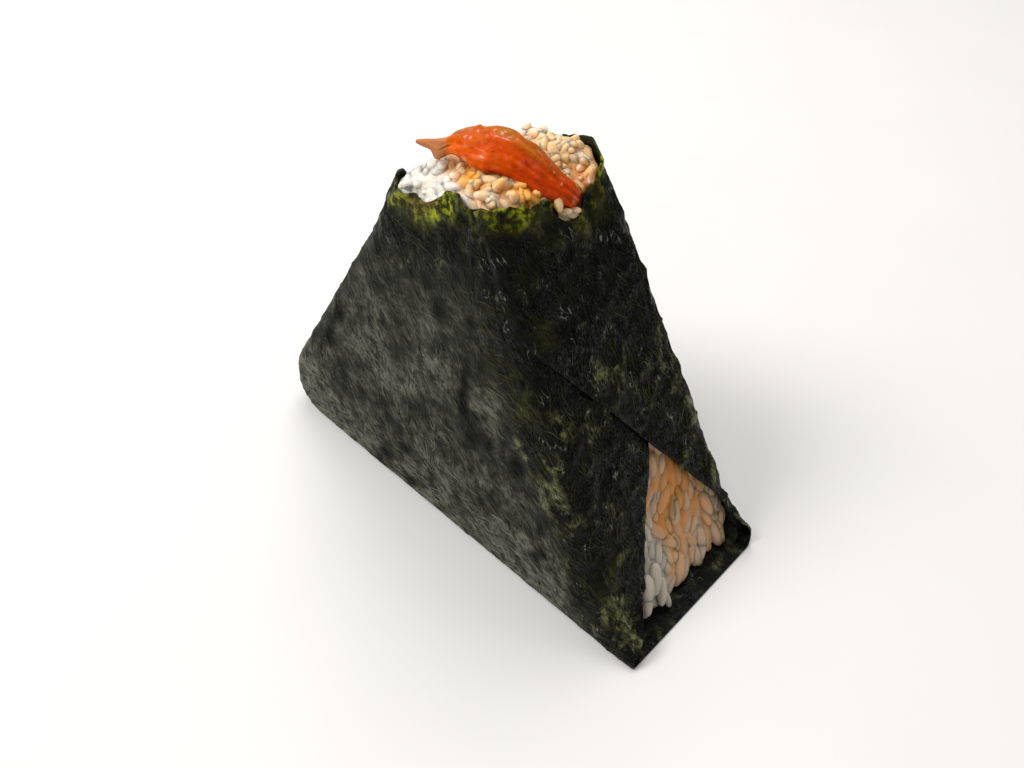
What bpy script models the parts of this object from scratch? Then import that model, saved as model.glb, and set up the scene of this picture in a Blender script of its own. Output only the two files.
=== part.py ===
"""A kimchi onigiri that stands on its narrow base: a wedge of rice in one folded sheet of nori, open at the
top and at one lower corner, with a strip of kimchi that runs down through the rice. Metres, +Z up, with the
origin under the middle of the whole. The large faces look along Y, and the open corner is at +X."""

import math
import random

import bmesh
import bpy
from mathutils import Vector

# The wedge, from its base to the height where its slanted sides would end
BASE_LENGTH = 0.0872
BASE_THICKNESS = 0.0341
APEX_HEIGHT = 0.0731
APEX_LENGTH = 0.0079
APEX_THICKNESS = 0.0205
BASE_ANGLE = math.atan2(APEX_HEIGHT, (BASE_LENGTH - APEX_LENGTH) / 2)

# Roundings of the wrapped wedge
CLOSED_END_ROUND = 0.0075
FOOT_ROUND = 0.0015
CLOSED_CORNER_ROUND = 0.0036
RIDGE_ROUND = 0.0028
FACE_CROWN = 0.0007
CROWN_FOOT = 0.014
CROWN_TOP = 0.064
CROWN_TOP_FADE = 0.02
FACE_WAVE = 0.00022
WAVE_ONE = (260, 90)
WAVE_TWO = (-70, 310)

# The sheet
NORI_THICKNESS = 0.00045
NORI_GAP = 0.0003
LAYER_STEP = NORI_THICKNESS + NORI_GAP
MARGIN = 0.0023
FOOT_ANGLES = (0, 35, 62, 90)
LOW_ROWS = 4
WALL_ROWS = 15
FACE_COLUMNS = 12
END_COLUMNS = 6
FLAP_COLUMNS = 6

# The heights between which each flap at the open end turns in, from standing straight out to lying on the side
FRONT_FOLD = (0.0, 0.006)
BACK_FOLD = (0.002, 0.0105)

# How far each flap reaches from its fold, by height
FRONT_FLAP_REACH = (
    (0.0, 0.0023), (0.0015, 0.0029), (0.003, 0.0042), (0.008, 0.0088), (0.012, 0.0102), (0.026, 0.0168),
    (0.036, 0.019), (0.066, 0.016),
)
BACK_FLAP_REACH = (
    (0.0, 0.0023), (0.003, 0.0030), (0.006, 0.0029), (0.0085, 0.0020), (0.0105, 0.0019), (0.0475, 0.0246),
    (0.050, 0.0262), (0.068, 0.0233),
)

# The torn rim, by the share of the way round it: 0 to 1 is the open end from front to back, 1 to 2 the back
# face, 2 to 3 the closed end and 3 to 4 the front face
RIM = (
    (0.0, 0.0658), (0.19, 0.0644), (0.26, 0.0631), (0.36, 0.0634), (0.48, 0.0600), (0.58, 0.0591),
    (0.68, 0.0602), (0.85, 0.0622), (0.93, 0.0640), (1.04, 0.0664), (1.3, 0.0641), (1.6, 0.0627),
    (2.0, 0.0614), (2.5, 0.0622), (2.8, 0.0630), (3.0, 0.0605), (3.18, 0.0607), (3.4, 0.0617),
    (3.55, 0.0646), (3.68, 0.0653), (3.8, 0.0644), (3.9, 0.0654), (4.0, 0.0658),
)
PLAIN_RIM = 0.0615
RIM_FADE = 4
UNDER_FLAP_DROP = 0.0009
UNDER_FLAP_WAY = 0.75
RIM_FLARE = 0.0016
FLARE_START = 0.048
FLARE_RISE = 0.014

# The rice
RICE_INSET = NORI_THICKNESS + NORI_GAP
RICE_FOOT_ROUND = 0.0024
RICE_CORNER_ROUND = 0.0027
RICE_ROWS = 12
RICE_FACE_COLUMNS = 11
RICE_END_COLUMNS = 7
HEAP_START = 0.0572
HEAP_TOP = 0.0661
HEAP_BELOW_RIM = 0.0018
HEAP_SLOPE = 0.5
HEAP_LEVEL_FROM = 0.002
HEAP_RINGS = (0.985, 0.93, 0.83, 0.68, 0.48, 0.25)
HEAP_LUMP = 0.0003

# A cooked grain
GRAIN_LENGTH = 0.0064
GRAIN_WIDTH = 0.0030
GRAIN_DEPTH = 0.0026
GRAIN_SIDES = 5
GRAIN_PROFILE = ((-0.38, 0.74), (0.0, 1.0), (0.38, 0.74))
HEAP_GRAINS = 60
HEAP_SPREAD = 0.98
HEAP_FOCUS = HEAP_START - 0.004
GOLDEN_ANGLE = math.pi * (3 - math.sqrt(5))
GRAIN_TURNS = 8
GRAIN_SUNK = 0.0002
GRAIN_TUCK = 0.00015
GRAIN_SHIFT = 0.8
GRAIN_TRIM = 0.0013
PROUD_GRAIN = (-0.0020, 0.0061, 0.0645)
PROUD_LEAN = (-0.25, 0.2, 1.0)
OPEN_ROW_STEP = 0.0031
OPEN_GRAIN_STEP = 0.0035
OPEN_TOP = 0.0235
FLAP_CLEARANCE = 0.0015
RIM_CLEARANCE = 0.0011
RIM_STRETCH = 0.1
SEED = 7

# The kimchi strip, from its pale tip over the heap and down into the rice: x, y, z, half width, half depth
KIMCHI_STATIONS = (
    (-0.0101, -0.0074, 0.0661, 0.0006, 0.0004),
    (-0.0080, -0.0070, 0.0666, 0.0014, 0.0007),
    (-0.0055, -0.0064, 0.0672, 0.0019, 0.0009),
    (-0.0012, -0.0049, 0.0683, 0.0035, 0.0011),
    (0.0019, -0.0032, 0.0685, 0.0042, 0.0012),
    (0.0053, -0.0015, 0.0674, 0.0042, 0.0013),
    (0.0081, 0.0004, 0.0653, 0.0038, 0.0014),
    (0.0097, 0.0018, 0.0632, 0.0026, 0.0014),
    (0.0090, 0.0026, 0.0604, 0.0019, 0.0013),
    (0.0068, 0.0026, 0.0550, 0.0026, 0.0019),
    (0.0040, 0.0020, 0.0460, 0.0045, 0.0030),
    (0.0025, 0.0010, 0.0380, 0.0050, 0.0034),
    (0.0020, 0.0000, 0.0300, 0.0040, 0.0028),
    (0.0020, 0.0000, 0.0250, 0.0014, 0.0011),
)
KIMCHI_FACING = (0.15, -0.45, 0.88)
KIMCHI_SIDES = 12
KIMCHI_STEPS = 3
KIMCHI_DROOP = 0.18
KIMCHI_CRINKLE = 0.10
CRINKLE_TURN = 0.9
KIMCHI_CLEARANCE = 0.00035

# The pocket in the rice is open above the strip down to the height where the strip dives in
KIMCHI_DIVE = 0.0625
POCKET_LIFT = 0.002

# Middle of the whole along X, which becomes the origin
LEFT_END = -(BASE_LENGTH / 2 - CLOSED_END_ROUND / math.tan(BASE_ANGLE / 2) + CLOSED_END_ROUND)
MIDDLE = (LEFT_END + BASE_LENGTH / 2 + MARGIN) / 2


def blend(a, b, share):
    return a + (b - a) * share


def ease(share):
    """A rise from 0 to 1 that starts and ends level."""
    share = min(max(share, 0.0), 1.0)
    return share * share * (3.0 - 2.0 * share)


def read_off(points, place):
    """The value at a place between the points of a profile, joined by straight lines."""
    for (start, low), (end, high) in zip(points, points[1:]):
        if place <= end:
            return blend(low, high, max(place - start, 0.0) / (end - start))
    return points[-1][1]


def half_length(z):
    return blend(BASE_LENGTH, APEX_LENGTH, z / APEX_HEIGHT) / 2


def half_thickness(z):
    return blend(BASE_THICKNESS, APEX_THICKNESS, z / APEX_HEIGHT) / 2


def slope_wall(z, rounding, inset):
    """How far a slanted side stands from the middle. An arc joins it to the base and touches both."""
    if z >= rounding + (rounding - inset) * math.cos(BASE_ANGLE):
        return half_length(z) - inset / math.sin(BASE_ANGLE)
    centre = BASE_LENGTH / 2 - rounding / math.tan(BASE_ANGLE / 2)
    return centre + math.sqrt(max((rounding - inset) ** 2 - (rounding - z) ** 2, 0.0))


def closed_wall(z, inset):
    """The closed end, which stands up a little straighter below the rim."""
    return slope_wall(z, CLOSED_END_ROUND, inset) + RIM_FLARE * ease((z - FLARE_START) / FLARE_RISE)


def face_wall(z, inset):
    """How far a large face stands from the middle, with its lower edge rounded."""
    if z >= FOOT_ROUND:
        return half_thickness(z) - inset
    arc = math.sqrt(max((FOOT_ROUND - inset) ** 2 - (FOOT_ROUND - z) ** 2, 0.0))
    return half_thickness(z) - FOOT_ROUND + arc


def crown(x, z):
    """How far the large faces swell, with a slight wave, between their edges."""
    across = max(1.0 - (x / half_length(z)) ** 2, 0.0)
    up = ease(z / CROWN_FOOT) * ease((CROWN_TOP - z) / CROWN_TOP_FADE)
    wave = math.sin(x * WAVE_ONE[0] + z * WAVE_ONE[1]) * math.sin(x * WAVE_TWO[0] + z * WAVE_TWO[1])
    return across * up * (FACE_CROWN + FACE_WAVE * wave)


class Run:
    """A level path of straight stretches joined by arcs that all turn left. Each corner is x, y and radius."""

    def __init__(self, corners):
        self.pieces = []
        self.marks = []
        done = 0.0
        start = Vector(corners[0][:2])
        for before, here, after in zip(corners, corners[1:], corners[2:]):
            heading = math.atan2(here[1] - before[1], here[0] - before[0])
            turn = math.atan2(after[1] - here[1], after[0] - here[0]) - heading
            turn = max((turn + math.pi) % (2 * math.pi) - math.pi, 1e-6)
            radius = here[2]
            direction = Vector((math.cos(heading), math.sin(heading)))
            touch = Vector(here[:2]) - direction * radius * math.tan(turn / 2)
            self.pieces.append((done, start, heading, None))
            done += (touch - start).dot(direction)
            self.pieces.append((done, touch, heading, radius))
            self.marks.append(done + radius * turn / 2)
            done += radius * turn
            away = Vector((math.cos(heading + turn), math.sin(heading + turn)))
            start = Vector(here[:2]) + away * radius * math.tan(turn / 2)
        last = math.atan2(corners[-1][1] - corners[-2][1], corners[-1][0] - corners[-2][0])
        self.pieces.append((done, start, last, None))
        self.length = done + (Vector(corners[-1][:2]) - start).length

    def at(self, distance):
        """The point this far along the path, and the direction that faces out of it."""
        begun, start, heading, radius = [p for p in self.pieces if p[0] <= max(distance, 0.0)][-1]
        way = distance - begun
        if radius is None:
            out = Vector((math.sin(heading), -math.cos(heading)))
            return start + Vector((math.cos(heading), math.sin(heading))) * way, out
        centre = start + Vector((-math.sin(heading), math.cos(heading))) * radius
        now = heading + way / radius
        out = Vector((math.sin(now), -math.cos(now)))
        return centre + out * radius, out


def fold(z, heights):
    """The angle of a flap at the open end: none near the floor, a right angle once it lies on the side."""
    start, end = heights
    return math.pi / 2 * ease((z - start) / (end - start))


def nori_run(z):
    """The path of the sheet round the rice at one height, and the marks of its four folds on it."""
    side = half_length(z)
    face = face_wall(z, 0.0)
    closed = -closed_wall(z, 0.0)
    lift = LAYER_STEP * ease(z / BACK_FOLD[1])
    outer = side + lift / math.sin(BASE_ANGLE)
    back_angle = fold(z, BACK_FOLD)
    front_angle = fold(z, FRONT_FOLD)
    reach = BASE_THICKNESS
    if z >= BACK_FOLD[1]:
        over = -(face + LAYER_STEP)
        start = [(side - RIDGE_ROUND * 2, over, 0.0), (outer, over, RIDGE_ROUND + LAYER_STEP)]
    else:
        start = [(outer + math.cos(back_angle) * reach, face - math.sin(back_angle) * reach, 0.0)]
    corners = start + [
        (outer, face, RIDGE_ROUND),
        (closed, face, CLOSED_CORNER_ROUND),
        (closed, -face, CLOSED_CORNER_ROUND),
        (side, -face, RIDGE_ROUND),
        (side + math.cos(front_angle) * reach, -face + math.sin(front_angle) * reach, 0.0),
    ]
    run = Run(corners)
    return run, run.marks[-4:]


def nori_columns():
    """The places of the columns: which stretch of the path each lies in, and how far along it. They lie closer
    together near the folds."""
    places = []
    counts = (FLAP_COLUMNS, FACE_COLUMNS, END_COLUMNS, FACE_COLUMNS, FLAP_COLUMNS)
    for stretch, count in enumerate(counts):
        places += [(stretch, (1 - math.cos(math.pi * step / count)) / 2) for step in range(count)]
    return places + [(4, 1.0)]


def nori_point(place, z):
    """The point of the sheet's outer surface at a column's place and a height."""
    stretch, share = place
    run, folds = nori_run(z)
    stops = (
        folds[0] - read_off(BACK_FLAP_REACH, z), *folds, folds[3] + read_off(FRONT_FLAP_REACH, z),
    )
    spot, out = run.at(blend(stops[stretch], stops[stretch + 1], share))
    swell = crown(spot.x, z) * abs(out.y)
    return Vector((spot.x, spot.y + math.copysign(swell, out.y), z))


def rim_height(place):
    """The height of the torn rim over a column. The layer under the back flap ends a little lower."""
    stretch, share = place
    if stretch == 4:
        return read_off(RIM, share * UNDER_FLAP_WAY) - UNDER_FLAP_DROP
    return read_off(RIM, stretch + share)


def nori_sheet():
    """The sheet as a grid: its walls and flaps, and the base that joins them."""
    places = nori_columns()
    feet = [FOOT_ROUND * (1 - math.cos(math.radians(angle))) for angle in FOOT_ANGLES]
    heights = feet + [blend(FOOT_ROUND, CLOSED_END_ROUND, row / LOW_ROWS) for row in range(1, LOW_ROWS + 1)]
    heights += [blend(CLOSED_END_ROUND, PLAIN_RIM, row / WALL_ROWS) for row in range(1, WALL_ROWS + 1)]
    points = []
    walls = []
    for z in heights:
        row = []
        for place in places:
            torn = z + (rim_height(place) - PLAIN_RIM) * (z / PLAIN_RIM) ** RIM_FADE
            row.append(len(points))
            points.append(nori_point(place, torn))
        walls.append(row)
    faces = []
    for low, high in zip(walls, walls[1:]):
        for column in range(len(places) - 1):
            faces.append((low[column], low[column + 1], high[column + 1], high[column]))
    foot = walls[0]
    half = FLAP_COLUMNS + FACE_COLUMNS
    back = foot[half::-1]
    front = foot[half + END_COLUMNS:]
    closed = foot[half:half + END_COLUMNS + 1][::-1]
    base = [closed]
    for column in range(1, half + 1):
        share = column / half
        line = [front[column]]
        for step in range(1, END_COLUMNS):
            across = step / END_COLUMNS
            straight = blend(points[front[column]], points[back[column]], across)
            bow = points[closed[step]] - blend(points[closed[0]], points[closed[-1]], across)
            line.append(len(points))
            points.append(straight + bow * (1 - share) ** 2)
        base.append(line + [back[column]])
    for near, far in zip(base, base[1:]):
        for step in range(END_COLUMNS):
            faces.append((near[step], near[step + 1], far[step + 1], far[step]))
    return points, faces


def rice_ring(z):
    """The path round the rice core at one height, starting in the middle of the open end."""
    side = slope_wall(z, RICE_FOOT_ROUND, RICE_INSET)
    closed = -closed_wall(z, RICE_INSET)
    face = face_wall(z, RICE_INSET)
    corner = RICE_CORNER_ROUND
    return Run([
        (side, 0.0, 0.0), (side, face, corner), (closed, face, corner), (closed, -face, corner),
        (side, -face, corner), (side, 0.0, 0.0),
    ])


def ring_points(run, z):
    """Points spread round a ring of the rice."""
    stops = [0.0, *run.marks, run.length]
    half_end = RICE_END_COLUMNS // 2 + 1
    counts = (half_end, RICE_FACE_COLUMNS, RICE_END_COLUMNS, RICE_FACE_COLUMNS, half_end)
    ring = []
    for start, end, count in zip(stops, stops[1:], counts):
        for step in range(count):
            spot, out = run.at(blend(start, end, step / count))
            swell = crown(spot.x, z) * abs(out.y)
            ring.append(Vector((spot.x, spot.y + math.copysign(swell, out.y), z)))
    return ring


def heap_point(rim, share):
    """A point of the heap: a ring of the rice drawn in to a share of its size, rising from under the rim."""
    start = max(rim_height_near(rim, 0.0) - HEAP_BELOW_RIM, HEAP_START)
    spot = rim * share
    back = 0.5 + spot.y / BASE_THICKNESS
    top = HEAP_TOP + HEAP_SLOPE * min(spot.x - HEAP_LEVEL_FROM, 0.0) * back
    return Vector((spot.x, spot.y, start + (top - start) * math.sqrt(max(1.0 - share ** 3, 0.0))))


def rim_height_near(point, shift):
    """The height of the torn rim at the wall nearest to a point, or a shift of the way round from there."""
    x = point.x / half_length(point.z)
    y = point.y / half_thickness(point.z)
    if abs(x) >= abs(y):
        place = (1 + y) / 2 if x > 0 else 2 + (1 - y) / 2
    else:
        place = 1 + (1 - x) / 2 if y > 0 else 3 + (1 + x) / 2
    return read_off(RIM, (place + shift) % 4)


def inside_nori(point, inset):
    """The point, moved in to this far under the sheet's outer surface where it would reach the sheet."""
    point.z = max(point.z, inset)
    rim = max(rim_height_near(point, shift) for shift in (-RIM_STRETCH, 0.0, RIM_STRETCH))
    if point.z > rim + RIM_CLEARANCE:
        return point
    side = slope_wall(point.z, RICE_FOOT_ROUND, inset)
    closed = closed_wall(point.z, inset)
    open_low = -half_thickness(point.z) + read_off(FRONT_FLAP_REACH, point.z) + FLAP_CLEARANCE
    open_high = half_thickness(point.z) - read_off(BACK_FLAP_REACH, point.z) - FLAP_CLEARANCE
    if not open_low < point.y < open_high:
        point.x = min(point.x, side)
    point.x = max(point.x, -closed)
    face = face_wall(point.z, inset) + crown(point.x, point.z)
    point.y = min(max(point.y, -face), face)
    corner = Vector((side if point.x > 0 else closed, face)) - Vector((RICE_CORNER_ROUND, RICE_CORNER_ROUND))
    past = Vector((abs(point.x), abs(point.y))) - corner
    if past.x > 0 and past.y > 0 and past.length > RICE_CORNER_ROUND:
        corner += past.normalized() * RICE_CORNER_ROUND
        point.xy = Vector((math.copysign(corner.x, point.x), math.copysign(corner.y, point.y)))
    return point


def rice_core(draw):
    """The core of the rice: a wedge with a heap on top, as rings closed by a point at each end."""
    feet = [blend(RICE_INSET, FOOT_ROUND, share) for share in (0.0, 0.35, 1.0)]
    walls = [blend(FOOT_ROUND, HEAP_START, row / RICE_ROWS) for row in range(1, RICE_ROWS + 1)]
    rings = [ring_points(rice_ring(z), z) for z in feet + walls]
    rim = rings[-1]
    for share in HEAP_RINGS:
        lumps = [heap_point(spot, share) + Vector((0, 0, draw.uniform(-1, 1) * HEAP_LUMP)) for spot in rim]
        rings.append([inside_nori(spot, RICE_INSET) for spot in lumps])
    under = Vector((0.0, 0.0, RICE_INSET))
    under.x = (rings[0][0].x + min(spot.x for spot in rings[0])) / 2
    top = heap_point(rim[0], 0.0)
    return closed_tube(rings, under, top)


def closed_tube(rings, first, last):
    """Points and faces of a tube of rings, closed by a fan to a point at each end."""
    sides = len(rings[0])
    points = [first] + [spot for ring in rings for spot in ring] + [last]
    faces = []
    for side in range(sides):
        after = (side + 1) % sides
        faces.append((0, 1 + after, 1 + side))
        for row in range(len(rings) - 1):
            low = 1 + row * sides
            faces.append((low + side, low + after, low + sides + after, low + sides + side))
        high = 1 + (len(rings) - 1) * sides
        faces.append((high + side, high + after, len(points) - 1))
    return points, faces


def mesh_object(name, points, faces):
    """An object of these points and faces, split into triangles, with the origin at the middle of the whole."""
    mesh = bpy.data.meshes.new(name)
    mesh.from_pydata([spot - Vector((MIDDLE, 0, 0)) for spot in points], [], faces)
    builder = bmesh.new()
    builder.from_mesh(mesh)
    bmesh.ops.triangulate(builder, faces=builder.faces)
    builder.to_mesh(mesh)
    builder.free()
    made = bpy.data.objects.new(name, mesh)
    bpy.context.scene.collection.objects.link(made)
    return made


def grain_mesh(centre, along, facing, size):
    """Points and faces of a blunt grain of few sides, moved and trimmed to clear the sheet, or None where that
    would trim too much of it."""
    along = along.normalized()
    across = facing.cross(along).normalized()
    up = along.cross(across)
    rings = []
    for place, girth in GRAIN_PROFILE:
        ring = []
        for side in range(GRAIN_SIDES):
            angle = 2 * math.pi * side / GRAIN_SIDES
            wide = across * math.cos(angle) * GRAIN_WIDTH + up * math.sin(angle) * GRAIN_DEPTH
            ring.append(centre + (wide * girth / 2 + along * place * GRAIN_LENGTH) * size)
        rings.append(ring)
    tips = [centre - along * GRAIN_LENGTH / 2 * size, centre + along * GRAIN_LENGTH / 2 * size]
    points, faces = closed_tube(rings, *tips)
    inset = RICE_INSET + GRAIN_TUCK * size ** 6
    moves = [inside_nori(spot.copy(), inset) - spot for spot in points]
    aside = max(moves, key=lambda move: move.length)
    aside *= GRAIN_SHIFT
    tucked = [inside_nori(spot + aside, inset) for spot in points]
    trims = [(spot + aside - moved).length for spot, moved in zip(points, tucked)]
    return (tucked, faces) if max(trims) < GRAIN_TRIM else None


def heap_grains(draw):
    """Grains spread over the heap along a spiral, and one that stands up at the back. A grain that would lie on
    the kimchi or under the sheet is turned, and left out where no turn clears it."""
    rim = ring_points(rice_ring(HEAP_START), HEAP_START)
    sections = kimchi_sections()
    yield grain_mesh(Vector(PROUD_GRAIN), Vector(PROUD_LEAN), Vector((0, -1, 0)), 1.0)
    for count in range(HEAP_GRAINS):
        share = math.sqrt((count + 0.5) / HEAP_GRAINS) * HEAP_SPREAD
        turn = count * GOLDEN_ANGLE % (2 * math.pi)
        edge = min(rim, key=lambda spot: abs(math.remainder(math.atan2(spot.y, spot.x) - turn, 2 * math.pi)))
        facing = (heap_point(edge, share) - Vector((0, 0, HEAP_FOCUS))).normalized()
        centre = heap_point(edge, share) + facing * draw.uniform(-1.5, 1.0) * GRAIN_SUNK
        size = draw.uniform(0.88, 1.08)
        for _ in range(GRAIN_TURNS):
            along = Vector((draw.gauss(0, 1), draw.gauss(0, 1), draw.gauss(0, 0.4)))
            along -= facing * along.dot(facing) * draw.uniform(0.85, 1.0)
            shape = grain_mesh(centre, along, facing, size)
            if shape and not over_kimchi(shape[0], sections):
                yield shape
                break


def open_corner_grains(draw):
    """Grains in the opening that the flaps leave at the lower corner of the open end."""
    facing = Vector((math.sin(BASE_ANGLE), 0, math.cos(BASE_ANGLE)))
    downhill = Vector((math.cos(BASE_ANGLE), 0, -math.sin(BASE_ANGLE)))
    z = OPEN_ROW_STEP * 0.8
    while z < OPEN_TOP:
        y = -half_thickness(z) + read_off(FRONT_FLAP_REACH, z) + draw.uniform(0.6, 1.0) * FLAP_CLEARANCE
        limit = half_thickness(z) - read_off(BACK_FLAP_REACH, z) - FLAP_CLEARANCE * 0.6
        while y < limit:
            wall = slope_wall(z, RICE_FOOT_ROUND, RICE_INSET)
            centre = Vector((wall, y, z)) - facing * draw.uniform(0.0, 3.0) * GRAIN_SUNK
            along = downhill + Vector((0, draw.gauss(0, 0.55), 0)) + facing * draw.gauss(0, 0.18)
            yield grain_mesh(centre, along, facing, draw.uniform(0.85, 1.05))
            y += OPEN_GRAIN_STEP * draw.uniform(0.85, 1.15)
        z += OPEN_ROW_STEP


def kimchi_sections():
    """Sections along the kimchi strip: middle, half sizes, and the ways that they widen and face. They turn with
    the path and never twist."""
    stations = [Vector(station[:3]) for station in KIMCHI_STATIONS]
    sizes = [Vector(station[3:]) for station in KIMCHI_STATIONS]
    spots = []
    for index in range(len(stations) - 1):
        before = stations[max(index - 1, 0)]
        after = stations[min(index + 2, len(stations) - 1)]
        for step in range(KIMCHI_STEPS):
            share = step / KIMCHI_STEPS
            lead = (stations[index + 1] - before) / 2
            tail = (after - stations[index]) / 2
            spots.append((
                stations[index] * (2 * share ** 3 - 3 * share ** 2 + 1)
                + lead * (share ** 3 - 2 * share ** 2 + share)
                + stations[index + 1] * (3 * share ** 2 - 2 * share ** 3)
                + tail * (share ** 3 - share ** 2),
                blend(sizes[index], sizes[index + 1], share),
            ))
    spots.append((stations[-1], sizes[-1]))
    facing = Vector(KIMCHI_FACING).normalized()
    sections = []
    for index, (spot, size) in enumerate(spots):
        heading = (spots[min(index + 1, len(spots) - 1)][0] - spots[max(index - 1, 0)][0]).normalized()
        facing = (facing - heading * facing.dot(heading)).normalized()
        sections.append((spot, size, facing.cross(heading), facing))
    return sections


def kimchi_rings(extra, lift):
    """Rings round the kimchi strip, this much larger all round, and the points that close its two ends. Where
    the strip lies on the heap, its upper side is raised by the lift."""
    sections = kimchi_sections()
    rings = []
    for index, (spot, size, across, facing) in enumerate(sections):
        ring = []
        for side in range(KIMCHI_SIDES):
            angle = 2 * math.pi * side / KIMCHI_SIDES
            crinkle = 1 + KIMCHI_CRINKLE * math.sin(3 * angle + index * CRINKLE_TURN)
            wide = (size.x * crinkle + extra) * math.cos(angle)
            raised = lift if 0 < side < KIMCHI_SIDES / 2 and spot.z > KIMCHI_DIVE else 0.0
            deep = (size.y * crinkle + extra) * math.sin(angle) + raised
            droop = KIMCHI_DROOP * size.x * math.cos(angle) ** 2
            ring.append(spot + across * wide + facing * (deep - droop))
        rings.append(ring)
    ends = [blend(sections[0][0], sections[1][0], -0.3), blend(sections[-1][0], sections[-2][0], -0.6)]
    return rings, ends


def over_kimchi(points, sections):
    """Whether any of the points lies on top of the kimchi strip."""
    for point in points:
        spot, size, across, facing = min(sections, key=lambda section: (point - section[0]).length)
        offset = point - spot
        aside = offset.dot(across)
        droop = KIMCHI_DROOP * aside ** 2 / size.x
        if offset.dot(facing) + droop > -KIMCHI_CLEARANCE and abs(aside) < size.x + KIMCHI_CLEARANCE:
            return True
    return False


def kimchi_object(name, extra, lift):
    rings, (first, last) = kimchi_rings(extra, lift)
    points, faces = closed_tube(rings, first, last)
    return mesh_object(name, points, faces)


def apply_modifiers(thing):
    """Replace an object's mesh by what its modifiers make of it."""
    graph = bpy.context.evaluated_depsgraph_get()
    made = bpy.data.meshes.new_from_object(thing.evaluated_get(graph))
    thing.modifiers.clear()
    thing.data = made


def fuse(core, pieces):
    """Join the core and all the pieces by one Boolean union, and remove the pieces."""
    group = bpy.data.collections.new("grains")
    bpy.context.scene.collection.children.link(group)
    for piece in pieces:
        bpy.context.scene.collection.objects.unlink(piece)
        group.objects.link(piece)
    union = core.modifiers.new("grains", "BOOLEAN")
    union.operation = "UNION"
    union.solver = "MANIFOLD"
    union.operand_type = "COLLECTION"
    union.collection = group
    apply_modifiers(core)
    for piece in pieces:
        bpy.data.objects.remove(piece, do_unlink=True)
    bpy.data.collections.remove(group)


def cut(thing, cutter):
    """Take the cutter's shape out of the object, and remove the cutter."""
    difference = thing.modifiers.new("pocket", "BOOLEAN")
    difference.operation = "DIFFERENCE"
    difference.solver = "MANIFOLD"
    difference.object = cutter
    apply_modifiers(thing)
    bpy.data.objects.remove(cutter, do_unlink=True)


def keep_largest(thing):
    """Drop the loose scraps that cutting left beside the main body."""
    builder = bmesh.new()
    builder.from_mesh(thing.data)
    left = set(builder.verts)
    bodies = []
    while left:
        body = set()
        edge = [left.pop()]
        while edge:
            vertex = edge.pop()
            body.add(vertex)
            for link in vertex.link_edges:
                other = link.other_vert(vertex)
                if other in left:
                    left.discard(other)
                    edge.append(other)
        bodies.append(body)
    bodies.sort(key=len)
    scraps = [vertex for body in bodies[:-1] for vertex in body]
    bmesh.ops.delete(builder, geom=scraps, context="VERTS")
    builder.to_mesh(thing.data)
    builder.free()


def dress(thing, colour, roughness):
    """Give the object a plain finish and smooth shading."""
    finish = bpy.data.materials.new(thing.name)
    finish.use_nodes = True
    surface = finish.node_tree.nodes["Principled BSDF"]
    surface.inputs["Base Color"].default_value = (*colour, 1.0)
    surface.inputs["Roughness"].default_value = roughness
    surface.inputs["Metallic"].default_value = 0.0
    thing.data.materials.clear()
    thing.data.materials.append(finish)
    thing.data.shade_smooth()
    thing.data.set_sharp_from_angle(angle=math.radians(50))


def make_nori():
    nori = mesh_object("nori", *nori_sheet())
    wall = nori.modifiers.new("thickness", "SOLIDIFY")
    wall.thickness = NORI_THICKNESS
    wall.offset = -1.0
    dress(nori, (0.016, 0.022, 0.014), 0.45)


def make_rice():
    draw = random.Random(SEED)
    rice = mesh_object("rice", *rice_core(draw))
    shapes = list(heap_grains(draw)) + list(open_corner_grains(draw))
    grains = [mesh_object("grain", *shape) for shape in shapes if shape]
    fuse(rice, grains)
    cut(rice, kimchi_object("pocket", KIMCHI_CLEARANCE, POCKET_LIFT))
    keep_largest(rice)
    dress(rice, (0.80, 0.75, 0.66), 0.35)


def make_kimchi():
    kimchi = kimchi_object("kimchi", 0.0, 0.0)
    dress(kimchi, (0.72, 0.16, 0.03), 0.25)


def main():
    for thing in list(bpy.data.objects):
        bpy.data.objects.remove(thing, do_unlink=True)
    make_nori()
    make_rice()
    make_kimchi()


main()
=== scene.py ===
"""A kimchi onigiri dressed for a studio picture: a wrinkled sheet of nori with its fibres, sticky rice grains
and a glossy strip of kimchi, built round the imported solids. Metres, +Z up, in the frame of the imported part:
the large faces look along Y, and the open lower corner is at +X."""

import math

import bpy
import numpy as np
from mathutils import Matrix, Vector


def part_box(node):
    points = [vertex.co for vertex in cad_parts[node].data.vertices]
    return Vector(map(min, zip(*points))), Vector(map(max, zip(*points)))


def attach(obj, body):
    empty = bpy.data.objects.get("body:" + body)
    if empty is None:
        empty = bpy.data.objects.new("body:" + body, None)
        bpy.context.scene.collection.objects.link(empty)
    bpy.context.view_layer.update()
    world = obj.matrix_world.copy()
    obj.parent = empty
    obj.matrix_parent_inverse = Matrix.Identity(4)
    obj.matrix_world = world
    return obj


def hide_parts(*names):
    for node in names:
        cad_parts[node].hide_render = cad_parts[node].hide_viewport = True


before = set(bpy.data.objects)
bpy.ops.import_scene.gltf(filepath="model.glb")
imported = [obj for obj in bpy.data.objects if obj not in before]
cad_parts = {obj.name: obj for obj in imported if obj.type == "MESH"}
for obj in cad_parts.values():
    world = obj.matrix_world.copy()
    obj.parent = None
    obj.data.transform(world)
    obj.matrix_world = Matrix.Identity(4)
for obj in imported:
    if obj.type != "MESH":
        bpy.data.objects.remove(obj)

bl_info = {
    "name": "Kimchi Onigiri",
    "version": (1, 0, 0),
    "blender": (4, 5, 0),
    "location": "3D View > Sidebar > Onigiri",
    "description": "Dresses a packed kimchi onigiri with nori, rice grains and kimchi",
    "category": "Add Mesh",
}

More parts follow.
